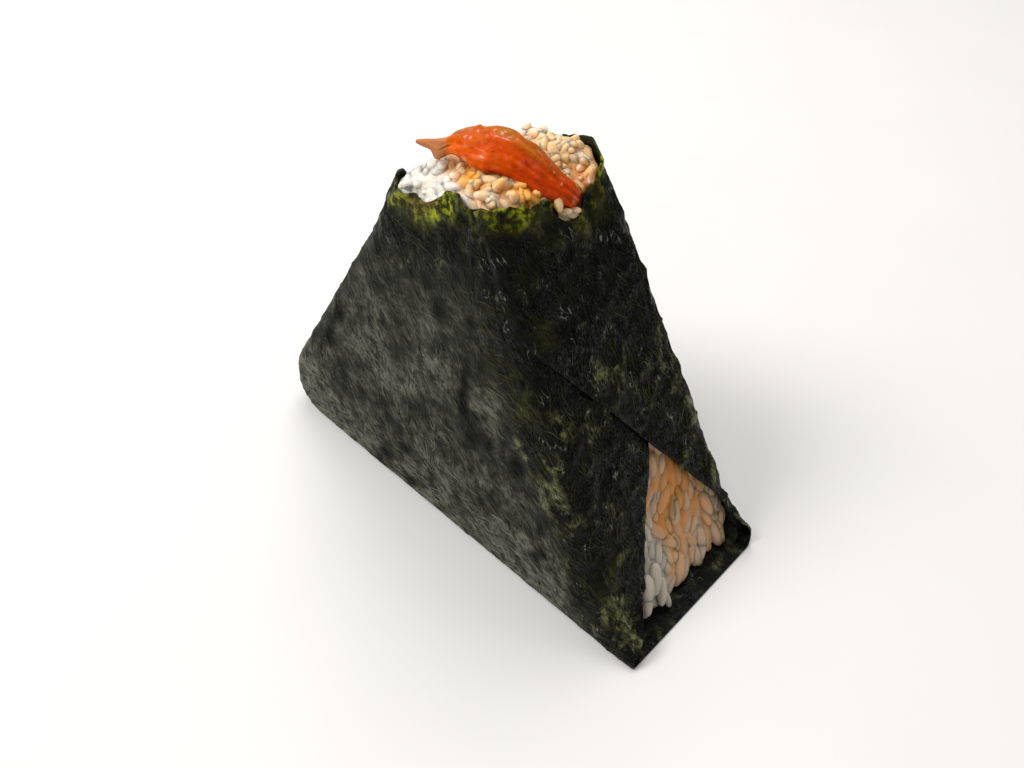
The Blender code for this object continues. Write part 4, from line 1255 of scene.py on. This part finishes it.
# Grains seen one by one in the photo: middle, direction and size. The first five stand up at the back of the
# heap, the next five lie beside the kimchi's end in the dip of the rim, and the last five hang down in the
# open corner.
SINGLE_GRAINS = np.array((
    (-0.0040, 0.0087, 0.0637, 0.5, -0.3, 0.7, 0.70),
    (-0.0034, 0.0085, 0.0629, 0.6, -0.2, 0.5, 0.90),
    (-0.0026, 0.0086, 0.0636, 0.7, 0.5, 0.1, 0.80),
    (-0.0012, 0.0090, 0.0634, -0.4, 0.7, 0.1, 0.80),
    (0.0004, 0.0094, 0.0634, 0.8, 0.3, 0.1, 0.80),
    (0.0107, -0.0007, 0.0630, 0.5, -0.3, -0.6, 0.52),
    (0.0113, 0.0008, 0.0612, 0.75, 0.66, 0.1, 0.62),
    (0.0108, -0.0003, 0.0611, 0.6, 0.3, 0.3, 0.62),
    (0.0114, 0.0000, 0.0604, 0.4, 0.66, -0.2, 0.62),
    (0.0119, 0.0012, 0.0606, 0.2, 0.66, -0.4, 0.60),
    (0.0403, -0.0068, 0.0061, 0.43, -0.34, -0.82, 0.95),
    (0.0414, -0.0077, 0.0038, 0.43, -0.36, -0.82, 0.78),
    (0.0401, -0.0046, 0.0064, 0.43, -0.38, -0.82, 0.95),
    (0.0416, -0.0040, 0.0036, 0.43, -0.40, -0.82, 0.85),
    (0.0424, -0.0034, 0.0019, 0.50, -0.10, -0.60, 0.60),
))


def fused(points, normals, centres, along, facing, look):
    """How far packed grains raise a surface along its normals: the soft maximum, 1/k times ln of the sum of
    e^(k h), of the heights h of ellipsoids and of the bare surface."""
    along = unit(along)
    across = unit(np.cross(facing, along))
    offset = points[:, None] - centres[None]
    down = np.sum(offset * along, axis=-1) / (look.grain_length / 2)
    aside = np.sum(offset * across, axis=-1) / (look.grain_width / 2)
    arch = 1.0 - down ** 2 - aside ** 2
    above = np.sum(offset * normals[:, None], axis=-1)
    rise = look.grain_width / 2 * GRAIN_FLATNESS * np.sqrt(np.maximum(arch, 0.0)) - above
    rise = np.where(arch > 0, rise, FAR_BELOW)
    return np.logaddexp(np.logaddexp.reduce(rise / FUSE_SOFTNESS, axis=1), 0.0) * FUSE_SOFTNESS


class ONIGIRI_OT_nori(bpy.types.Operator):
    """Build the wrinkled sheet of nori"""
    bl_idname = "onigiri.nori"
    bl_label = "Nori Sheet"

    def execute(self, context):
        look = context.scene.onigiri_nori
        points, normals, wet, green, _ = nori_surface(look)
        rows, columns = points.shape[:2]
        index = np.arange(rows * columns).reshape(rows, columns)
        wall = points.reshape(-1, 3)
        base_index, base_points = base_grid(wall, index[0])
        faces = np.concatenate([grid_faces(index), grid_faces(base_index)])
        everything = np.concatenate([wall, base_points])
        nori = mesh_piece("nori_sheet", everything, faces, [], nori_material(look, inner=False))
        nori.data.materials.append(nori_material(look, inner=True))
        blank = np.zeros(len(base_points))
        paint(nori, "green", np.concatenate([green.ravel(), blank]))
        wetness = np.concatenate([wet.ravel(), blank + 0.8])
        paint(nori, "wet", wetness)
        # In wet places the patches follow the wrinkles: painted light on their crests and painted shade in
        # their hollows.
        crests = np.clip(4.2 * wrinkle_crests(warp(everything)) - 1.5, 0.0, 2.6)
        paint(nori, "mottle", mottle(everything) * blend(1.0, crests, wetness))
        paint(nori, "ends", np.concatenate([ease(np.abs(normals[..., 0]) * 2 - 0.4).ravel(), blank]))
        wall_thickness = nori.modifiers.new("thickness", "SOLIDIFY")
        wall_thickness.thickness = look.thickness
        wall_thickness.offset = -1.0
        wall_thickness.material_offset = 1
        wall_thickness.material_offset_rim = 0
        settle(nori, "nori", "nori")
        return {"FINISHED"}


class ONIGIRI_OT_fibres(bpy.types.Operator):
    """Lay the raised fibres and the finer threads on the nori"""
    bl_idname = "onigiri.fibres"
    bl_label = "Nori Fibres"

    def execute(self, context):
        look = context.scene.onigiri_nori
        sheet = nori_surface(look)
        material = fibre_material(look)
        width, length = look.fibre_width, look.fibre_length
        self.strands("nori_fibres", sheet, material, look.fibres, FIBRE_STEPS, width, length, FIBRES_SEED)
        width, length = width * THREAD_WIDTH, length * THREAD_LENGTH
        self.strands("nori_threads", sheet, material, look.threads, THREAD_STEPS, width, length, THREADS_SEED)
        return {"FINISHED"}

    def strands(self, name, sheet, material, count, steps, width, length, seed):
        """Strands that each start at a random place and follow the sheet's grain over its surface in steps. A
        step in space becomes a step in rows and columns by solving two equations of its slopes."""
        draw = np.random.default_rng(seed)
        points, normals, _, green, covered = sheet
        row, column = self.starts(points, covered, count, draw)
        keep = draw.uniform(0, 1, count) > 0.85 * ease(sample_grid(green, row, column) * 2)
        row, column = row[keep], column[keep]
        count = len(row)
        slant = draw.normal(0, 0.34, count)
        bend = draw.normal(0, 0.10, count)
        length = length * draw.uniform(0.4, 1.5, count)
        route = []
        down_rows = np.gradient(points, axis=0)
        along_columns = np.gradient(points, axis=1)
        for step in range(steps):
            route.append((row, column))
            per_row = sample_grid(down_rows, row, column)
            per_column = sample_grid(along_columns, row, column)
            spot = sample_grid(points, row, column)
            normal = sample_grid(normals, row, column)
            swirl = noise(spot, 0.009, 201) * 0.45 + slant + bend * step * 6 / steps
            swirl = swirl + 0.35 * noise(spot, 0.0022, 202)
            way = self.direction(spot, normal, swirl) * (length / (steps - 1))[:, None]
            a = np.sum(per_row ** 2, axis=1)
            b = np.sum(per_row * per_column, axis=1)
            d = np.sum(per_column ** 2, axis=1)
            up = np.sum(way * per_row, axis=1)
            over = np.sum(way * per_column, axis=1)
            spread_out = np.maximum(a * d - b * b, 1e-16)
            row = row + (d * up - b * over) / spread_out
            column = column + (a * over - b * up) / spread_out
        rows, columns = (np.array(part) for part in zip(*route))
        inside = (rows.min(axis=0) > 1.0) & (rows.max(axis=0) < points.shape[0] - 3)
        inside &= (columns.min(axis=0) > 0.5) & (columns.max(axis=0) < points.shape[1] - 1.5)
        rows, columns = rows[:, inside], columns[:, inside]
        self.lay(name, draw, sheet, material, width, rows, columns)

    def starts(self, points, covered, count, draw):
        """Starting places on the grid, as likely in each cell as its area, but none that a flap covers."""
        up = points[1:, :-1] - points[:-1, :-1]
        along = points[:-1, 1:] - points[:-1, :-1]
        area = np.linalg.norm(np.cross(up, along), axis=-1) * ~covered[:-1, :-1]
        total = np.cumsum(area.ravel())
        cell = np.searchsorted(total, draw.uniform(0, total[-1], count))
        row, column = np.unravel_index(cell, area.shape)
        return row + draw.uniform(0, 1, count), column + draw.uniform(0, 1, count)

    def direction(self, spot, normal, swirl):
        """The way a fibre runs: down the face's slope turned by the swirl, flatter near the foot."""
        on_end = ease(np.abs(normal[:, 0]) * 2 - 0.4)
        on_face = FACE_FIBRE_SLOPE - 0.55 * ease((0.018 - spot[:, 2]) / 0.014)
        slope = blend(on_face, END_FIBRE_SLOPE, on_end)
        slope = slope + swirl * np.where(on_end > 0.5, 0.8, 1.0)
        level = unit(np.cross(normal, np.array([0.0, 0.0, 1.0])))
        level = level * np.where(level[:, :1] + 0.2 * level[:, 1:2] < 0, -1.0, 1.0)
        uphill = np.cross(level, normal) * np.sign(np.cross(level, normal)[:, 2:3])
        return level * np.cos(slope)[:, None] - uphill * np.sin(slope)[:, None]

    def lay(self, name, draw, sheet, material, width, rows, columns):
        """Make the strands: a roof-shaped tube along each route, widest in the middle, sunk at both edges."""
        points, normals, wet, green, _ = sheet
        steps, count = rows.shape
        spots = sample_grid(points, rows.ravel(), columns.ravel()).reshape(steps, count, 3)
        out = unit(sample_grid(normals, rows.ravel(), columns.ravel())).reshape(steps, count, 3)
        ahead = unit(np.gradient(spots, axis=0))
        aside = unit(np.cross(out, ahead))
        taper = np.sin(np.linspace(0.12, math.pi - 0.12, steps))[:, None, None] ** 0.6
        broad = (width * draw.uniform(0.5, 1.35, count))[None, :, None] * taper
        height = (width * draw.uniform(0.25, 0.65, count))[None, :, None] * taper
        sunk = out * FIBRE_SUNK
        edge = aside * broad / 2
        ring = np.stack([spots + edge - sunk, spots + out * height, spots - edge - sunk])
        strands = ring.transpose(2, 1, 0, 3).reshape(-1, 3)
        number = np.arange(steps * 3).reshape(steps, 3)
        turned = np.roll(number, -1, axis=1)
        walls = np.stack([number[:-1], turned[:-1], turned[1:], number[1:]], axis=-1).reshape(-1, 4)
        caps = np.array([number[0][::-1], number[-1]])
        shift = (np.arange(count) * steps * 3)[:, None, None]
        fibres = mesh_piece(name, strands, (walls[None] + shift).reshape(-1, 4),
                            (caps[None] + shift).reshape(-1, 3), material)
        tone = draw.uniform(0.05, 1.15, count)[:, None] * mottle(spots.transpose(1, 0, 2))
        paint(fibres, "tone", np.clip(np.repeat(tone.ravel(), 3), 0.0, 1.3))
        paint(fibres, "wet", np.repeat(sample_grid(wet, rows.T.ravel(), columns.T.ravel()), 3))
        paint(fibres, "green", np.repeat(sample_grid(green, rows.T.ravel(), columns.T.ravel()), 3))
        settle(fibres, "nori", "nori")


class ONIGIRI_OT_rice(bpy.types.Operator):
    """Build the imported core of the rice"""
    bl_idname = "onigiri.rice"
    bl_label = "Rice Core"

    def execute(self, context):
        look = context.scene.onigiri_rice
        draw = np.random.default_rng(CORE_SEED)
        wall = inner_side(context.scene.onigiri_nori)
        open_end = np.linspace(-OPEN_SPAN, OPEN_SPAN, OPEN_COLUMNS + 1)
        rest = np.linspace(OPEN_SPAN, 2 * math.pi - OPEN_SPAN, REST_COLUMNS + 1)[1:-1]
        angle = np.concatenate([open_end, rest])[None]
        corner_rows = np.linspace(RICE_INSET + 0.0003, CORNER_TOP, CORNER_ROWS)
        upper_rows = np.linspace(CORNER_TOP, HEAP_START, UPPER_ROWS)[1:]
        heights = np.concatenate([[RICE_INSET], corner_rows, upper_rows])[:, None]
        reach = room(wall, heights, angle)
        walls = np.stack([reach * np.cos(angle), reach * np.sin(angle), heights + 0 * angle], axis=-1)
        swell = crown(walls[..., 0], walls[..., 2]) * ease(np.abs(np.sin(angle)) * 2 - 0.6)
        swell = swell * ease((0.052 - walls[..., 2]) / 0.006)
        walls[..., 1] += swell * np.sign(walls[..., 1])
        share = np.linspace(0.998, 0.02, HEAP_RINGS)[:, None]
        reach = room(wall, 1.0, angle) * share
        x, y = reach * np.cos(angle), reach * np.sin(angle)
        under = 0.0004 + 0.0005 * share ** 4
        rings = np.concatenate([walls, np.stack([x, y, heap_height(wall, x, y) - under], axis=-1)])
        normals = grid_normals(np.concatenate([rings[:, -1:], rings, rings[:, :1]], axis=1))[:, 1:-1]
        on_heap = np.arange(len(rings)) >= len(walls) - 1
        grains = heap_grains(wall, draw, FUSED_HEAP_GAP, FUSED_HEAP_SUNK, 0.0)
        rings[on_heap] = self.pack(wall, rings[on_heap], normals[on_heap], grains, look)
        corner = heights[:, 0] < CORNER_TOP + 0.0001
        faces_open = np.abs(np.angle(np.exp(1j * angle[0]))) < OPEN_SPAN + 0.0001
        patch = np.ix_(np.flatnonzero(corner), np.flatnonzero(faces_open))
        grains = corner_grains(draw, FUSED_CORNER_GAP, FUSED_CORNER_SUNK)
        rings[patch] = self.pack(wall, rings[patch], normals[patch], grains, look)
        top = np.mean(rings[-1:], axis=1)
        points = np.concatenate([[[0.0, 0.0, RICE_INSET]], rings.reshape(-1, 3), top])
        quads, triangles = tube_faces(len(rings), angle.size)
        core = mesh_piece("rice_core", points - MIDDLE, quads, triangles, rice_material())
        paint(core, "stain", stain_of(points, look, 1.0) * 0.95)
        settle(core, "rice", "rice")
        return {"FINISHED"}

    def pack(self, wall, grid, normals, grains, look):
        """A stretch of the core raised by the grains fused into it, inside the nori and under the kimchi."""
        points = grid.reshape(-1, 3)
        normals = normals.reshape(-1, 3)
        rise = fused(points, normals, *grains, look)
        return under_kimchi(tuck_in(wall, points + normals * rise[:, None])).reshape(grid.shape)


class ONIGIRI_OT_grains(bpy.types.Operator):
    """Pack the cooked grains on the heap and in the open corner"""
    bl_idname = "onigiri.grains"
    bl_label = "Rice Grains"

    def execute(self, context):
        look = context.scene.onigiri_rice
        draw = np.random.default_rng(GRAINS_SEED)
        wall = inner_side(context.scene.onigiri_nori)
        heap = heap_grains(wall, draw, look.heap_spacing, HEAP_SUNK, STEEPEST_TILT)
        corner = corner_grains(draw, look.corner_spacing, CORNER_SUNK)
        centres = np.concatenate([heap[0], corner[0], SINGLE_GRAINS[:, :3]])
        along = np.concatenate([heap[1], corner[1], SINGLE_GRAINS[:, 3:6]])
        facing = np.concatenate([heap[2], corner[2], np.tile(SINGLE_FACING, (len(SINGLE_GRAINS), 1))])
        heap_sizes = draw.uniform(*HEAP_SIZES, len(heap[0]))
        corner_sizes = draw.uniform(*CORNER_SIZES, len(corner[0]))
        sizes = np.concatenate([heap_sizes, corner_sizes, SINGLE_GRAINS[:, 6]])
        points, quads, triangles = grains_mesh(centres, along, unit(facing), sizes, look, draw)
        per_grain = points.shape[1]
        packed = len(centres) - len(SINGLE_GRAINS)
        points = points.reshape(-1, 3)
        points[: packed * per_grain] = under_kimchi(tuck_in(wall, points[: packed * per_grain]))
        grains = mesh_piece("rice_grains", points - MIDDLE, quads, triangles, rice_material())
        tone = np.repeat(draw.uniform(0.93, 1.03, len(centres)), per_grain)[:, None]
        soak = draw.uniform(-1.2, 1.0, len(centres))
        soak[packed:] = 0.0
        soak = np.repeat(soak, per_grain)
        paint(grains, "stain", np.clip(stain_of(points, look, soak) * tone, 0.0, 1.0))
        settle(grains, "rice", "rice")
        return {"FINISHED"}


class ONIGIRI_OT_kimchi(bpy.types.Operator):
    """Build the glossy strip of kimchi"""
    bl_idname = "onigiri.kimchi"
    bl_label = "Kimchi"

    def execute(self, context):
        look = context.scene.onigiri_kimchi
        line, sizes, across, facing, place = kimchi_line()
        place = place[:, None]
        angle = (2 * math.pi * np.arange(KIMCHI_SIDES) / KIMCHI_SIDES)[None]
        aside, above = np.cos(angle), np.sin(angle)
        grid = np.stack(np.broadcast_arrays(place * 0.8, aside * 1.5, above * 0.8), axis=-1)
        veins = creases(grid * (0.45, 2.2, 1.0), 1.0, 151)
        edge = 1 + 0.17 * rough(grid * (1.9, 0.4, 0.0), 1.0, 152, 2) * np.abs(aside) ** 3
        middle = 0.02 + 0.14 * np.sin(1.3 * place)
        crease = around((aside,), ((middle, CREASE_WIDTH),)) * (above > 0)
        crease = crease * ease((place - 2.6) / 0.8) * ease(8.2 - place)
        drooping = around((place,), (WIDE_PLACE,)) * (aside < 0)
        wide = sizes[:, :1] * aside * edge * (1 + 1.2 * drooping)
        deep = sizes[:, 1:] * np.sign(above) * np.abs(above) ** 0.8
        droop = KIMCHI_DROOP * sizes[:, :1] * aside ** 2
        lift = (deep - droop)[..., None]
        rings = line[:, None] + across[:, None] * wide[..., None] + facing[:, None] * lift
        lumps = noise(grid, 0.7, 153) + 0.7 * noise(grid, 0.33, 154)
        strings = creases(grid * (0.35, 4.0, 1.6), 1.0, 155)
        relief = look.ripples * (0.6 * lumps + (veins - 0.4) + 0.9 * (strings - 0.4) - 0.7 * crease)
        rings = rings + unit(rings - line[:, None]) * (relief * ease(place / 1.6))[..., None]
        ends = blend(line[[0, -1]], line[[1, -2]], -0.5)
        points = np.concatenate([ends[:1], rings.reshape(-1, 3), ends[1:]])
        quads, triangles = tube_faces(len(rings), KIMCHI_SIDES)
        kimchi = mesh_piece("kimchi_strip", points - MIDDLE, quads, triangles, kimchi_material(look))
        colour = self.colours(look, grid, place, aside, veins, crease).reshape(-1, 3)
        paint(kimchi, "sauce", np.concatenate([colour[:1], colour, colour[-1:]]))
        pale = (1 - ease((place - 1.2) / 0.25)) + 0 * aside
        paint(kimchi, "dull", np.concatenate([[1.0], pale.ravel(), [0.0]]))
        settle(kimchi, "kimchi", "kimchi")
        return {"FINISHED"}

    def colours(self, look, grid, place, aside, veins, crease):
        """The strip's colours: a pale tip that fades into the sauce, a thin orange band along the back, and
        red sauce along the front and in the crease, which covers the whole width at the far end."""
        patch = rough(grid, 0.6, 161)
        fine = rough(grid * (1.0, 2.0, 1.0), 0.28, 162)
        thin = ease((aside + 0.12 + 0.30 * patch) / 0.6) * ease((7.0 - place) / 1.2)
        pinkish = ease((place - 1.1) / 0.4) * ease((3.1 - place) / 0.8) * ease((aside + 0.1) / 0.4)
        deep = ease((place - 5.2 + 0.5 * patch) / 0.8)
        blots = ease((rough(grid * (1.0, 1.6, 1.0), 0.45, 163) - 0.25) * 2.2) * 0.5
        spot = blots + 1.3 * around((place, aside), DARK_SPOT)
        layers = (
            (look.vivid, ease((3.7 - place + 0.5 * patch) / 0.9)),
            # The orange band and the clear veins are partly painted shade, darkened where the strip faces the
            # lamps.
            (look.orange, thin * (0.75 + 0.25 * fine)),
            (look.pinkish, (pinkish * (0.75 + 0.35 * patch)).clip(0, 1)),
            (look.vein, 0.75 * np.maximum(thin, 0.30) * veins),
            (look.deep, (np.maximum(deep * 0.45, spot) * (0.8 + 0.2 * fine)).clip(0, 1)),
            (look.deep, 0.2 * crease * ease((place - 3.2) / 0.6)),
        )
        colour = np.array(look.red)
        for layer, share in layers:
            colour = blend(colour, np.array(layer), share[..., None])
        tip = (1 - ease((place - 1.1 + 0.10 * patch) / 0.40)) + 0 * aside
        streaks = creases(grid * (0.5, 4.0, 1.0), 1.0, 164)
        colour = colour * (0.77 + 0.36 * streaks)[..., None]
        shade = (0.72 + 0.35 * streaks + 0.25 * ease((aside + 0.3) / 0.8))[..., None]
        return blend(colour, np.array(look.tip) * shade, tip[..., None])


class ONIGIRI_OT_flakes(bpy.types.Operator):
    """Scatter chilli flakes on the kimchi and the rice beside it"""
    bl_idname = "onigiri.flakes"
    bl_label = "Chilli Flakes"

    def execute(self, context):
        look = context.scene.onigiri_kimchi
        draw = np.random.default_rng(FLAKES_SEED)
        count = look.flakes
        line, sizes, across, facing, _ = kimchi_line()
        number = (draw.uniform(FLAKES_FROM, FLAKES_TO, count) * KIMCHI_STEPS).astype(int)
        aside = draw.uniform(-0.85, 0.85, count)
        size_x, size_y = sizes[number].T
        lift = size_y * np.sqrt(1 - aside ** 2) - KIMCHI_DROOP * size_x * aside ** 2
        on_strip = line[number] + across[number] * (size_x * aside)[:, None] + facing[number] * lift[:, None]
        x = draw.uniform(-0.003, 0.009, count)
        y = draw.uniform(-0.010, 0.010, count)
        wall = inner_side(context.scene.onigiri_nori)
        on_rice = np.stack([x, y, heap_height(wall, x, y) + 0.0006], axis=-1)
        chosen = draw.uniform(0, 1, count)[:, None] < FLAKES_ON_STRIP
        spots = np.where(chosen, on_strip, on_rice)
        facing = np.where(chosen, facing[number], np.array([0.0, 0.0, 1.0]))
        ahead = unit(np.cross(facing, unit(draw.normal(0, 1, (count, 3)))))
        side = np.cross(facing, ahead)
        half = look.flake_size * draw.uniform(0.4, 1.3, count)[:, None]
        long, wide = ahead * half, side * half
        ring = [spots + long, spots + wide * 0.6, spots - long * 0.8, spots - wide * 0.5]
        points = np.stack([spots - facing * 0.00012, *ring, spots + facing * 0.00010], axis=1)
        _, triangles = tube_faces(1, 4)
        faces = (triangles[None] + (np.arange(count) * 6)[:, None, None]).reshape(-1, 3)
        flakes = mesh_piece("chilli_flakes", points.reshape(-1, 3) - MIDDLE, [], faces, flake_material())
        settle(flakes, "kimchi", "kimchi")
        return {"FINISHED"}


class ONIGIRI_OT_stage(bpy.types.Operator):
    """Set the pale floor, the soft lights and the camera"""
    bl_idname = "onigiri.stage"
    bl_label = "Floor, Lights and Camera"

    def execute(self, context):
        scene = context.scene
        look = scene.onigiri_stage
        corners = np.array([(-1, -1, 0), (1, -1, 0), (1, 1, 0), (-1, 1, 0)]) * FLOOR_HALF
        corners[:, 2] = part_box("nori")[0].z - FLOOR_GAP
        floor = mesh_piece("floor", corners, [(0, 1, 2, 3)], [], floor_material(look))
        for name, place, size, power in LIGHTS:
            self.light(name, place, size, getattr(look, power))
        world = bpy.data.worlds.new("studio")
        world.use_nodes = True
        background = world.node_tree.nodes["Background"]
        background.inputs["Color"].default_value = SKY_COLOUR
        background.inputs["Strength"].default_value = look.sky
        scene.world = world
        scene.view_settings.view_transform = "Standard"
        self.camera(scene)
        return {"FINISHED"}

    def light(self, name, place, size, power):
        """A square area light that looks at the middle of the wedge."""
        lamp = bpy.data.lights.new(name, "AREA")
        lamp.size = size
        lamp.energy = power
        made = bpy.data.objects.new(name, lamp)
        made.location = place
        aim = Vector(LIGHT_TARGET) - Vector(place)
        made.rotation_euler = aim.to_track_quat("-Z", "Y").to_euler()
        bpy.context.scene.collection.objects.link(made)

    def camera(self, scene):
        """A camera at the photo's place, turned by its azimuth, elevation and roll."""
        sine, cosine = math.sin(CAMERA_AZIMUTH), math.cos(CAMERA_AZIMUTH)
        level = math.cos(CAMERA_ELEVATION)
        back = Vector((sine * level, -cosine * level, math.sin(CAMERA_ELEVATION)))
        right = Vector((cosine, sine, 0.0))
        up = back.cross(right)
        turned_right = right * math.cos(CAMERA_ROLL) + up * math.sin(CAMERA_ROLL)
        turned_up = up * math.cos(CAMERA_ROLL) - right * math.sin(CAMERA_ROLL)
        lens = bpy.data.cameras.new("camera")
        lens.sensor_width = SENSOR_WIDTH
        lens.lens = lens.sensor_width * CAMERA_FOCAL_PIXELS / PICTURE_WIDTH
        lens.clip_start = NEAREST_SEEN
        made = bpy.data.objects.new("camera", lens)
        axes = Matrix((turned_right, turned_up, back)).transposed()
        made.matrix_world = Matrix.Translation(CAMERA_PLACE) @ axes.to_4x4()
        scene.collection.objects.link(made)
        scene.camera = made


class ONIGIRI_PT_panel(bpy.types.Panel):
    """The onigiri's pieces and their looks"""
    bl_label = "Onigiri"
    bl_idname = "ONIGIRI_PT_panel"
    bl_space_type = "VIEW_3D"
    bl_region_type = "UI"
    bl_category = "Onigiri"

    def draw(self, context):
        for name in LOOKS:
            box = self.layout.box()
            settings = getattr(context.scene, name)
            for key in settings.bl_rna.properties.keys():
                if key not in ("rna_type", "name"):
                    box.prop(settings, key)
        for operator in OPERATORS:
            self.layout.operator(operator.bl_idname)


LOOKS = {
    "onigiri_nori": NoriLook,
    "onigiri_rice": RiceLook,
    "onigiri_kimchi": KimchiLook,
    "onigiri_stage": StageLook,
}
OPERATORS = (
    ONIGIRI_OT_stage, ONIGIRI_OT_nori, ONIGIRI_OT_fibres, ONIGIRI_OT_rice, ONIGIRI_OT_grains,
    ONIGIRI_OT_kimchi, ONIGIRI_OT_flakes,
)


def register():
    """Add the looks, the operators and the panel."""
    for kind in (*LOOKS.values(), *OPERATORS, ONIGIRI_PT_panel):
        bpy.utils.register_class(kind)
    for name, look in LOOKS.items():
        setattr(bpy.types.Scene, name, bpy.props.PointerProperty(type=look))


def unregister():
    """Take them away again."""
    for name in LOOKS:
        delattr(bpy.types.Scene, name)
    for kind in (ONIGIRI_PT_panel, *reversed(OPERATORS), *LOOKS.values()):
        bpy.utils.unregister_class(kind)


def main():
    """Build the stage and every piece."""
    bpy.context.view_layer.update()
    register()
    bpy.ops.onigiri.stage()
    bpy.ops.onigiri.nori()
    bpy.ops.onigiri.fibres()
    bpy.ops.onigiri.rice()
    bpy.ops.onigiri.grains()
    bpy.ops.onigiri.kimchi()
    bpy.ops.onigiri.flakes()


if __name__ == "__main__":
    main()
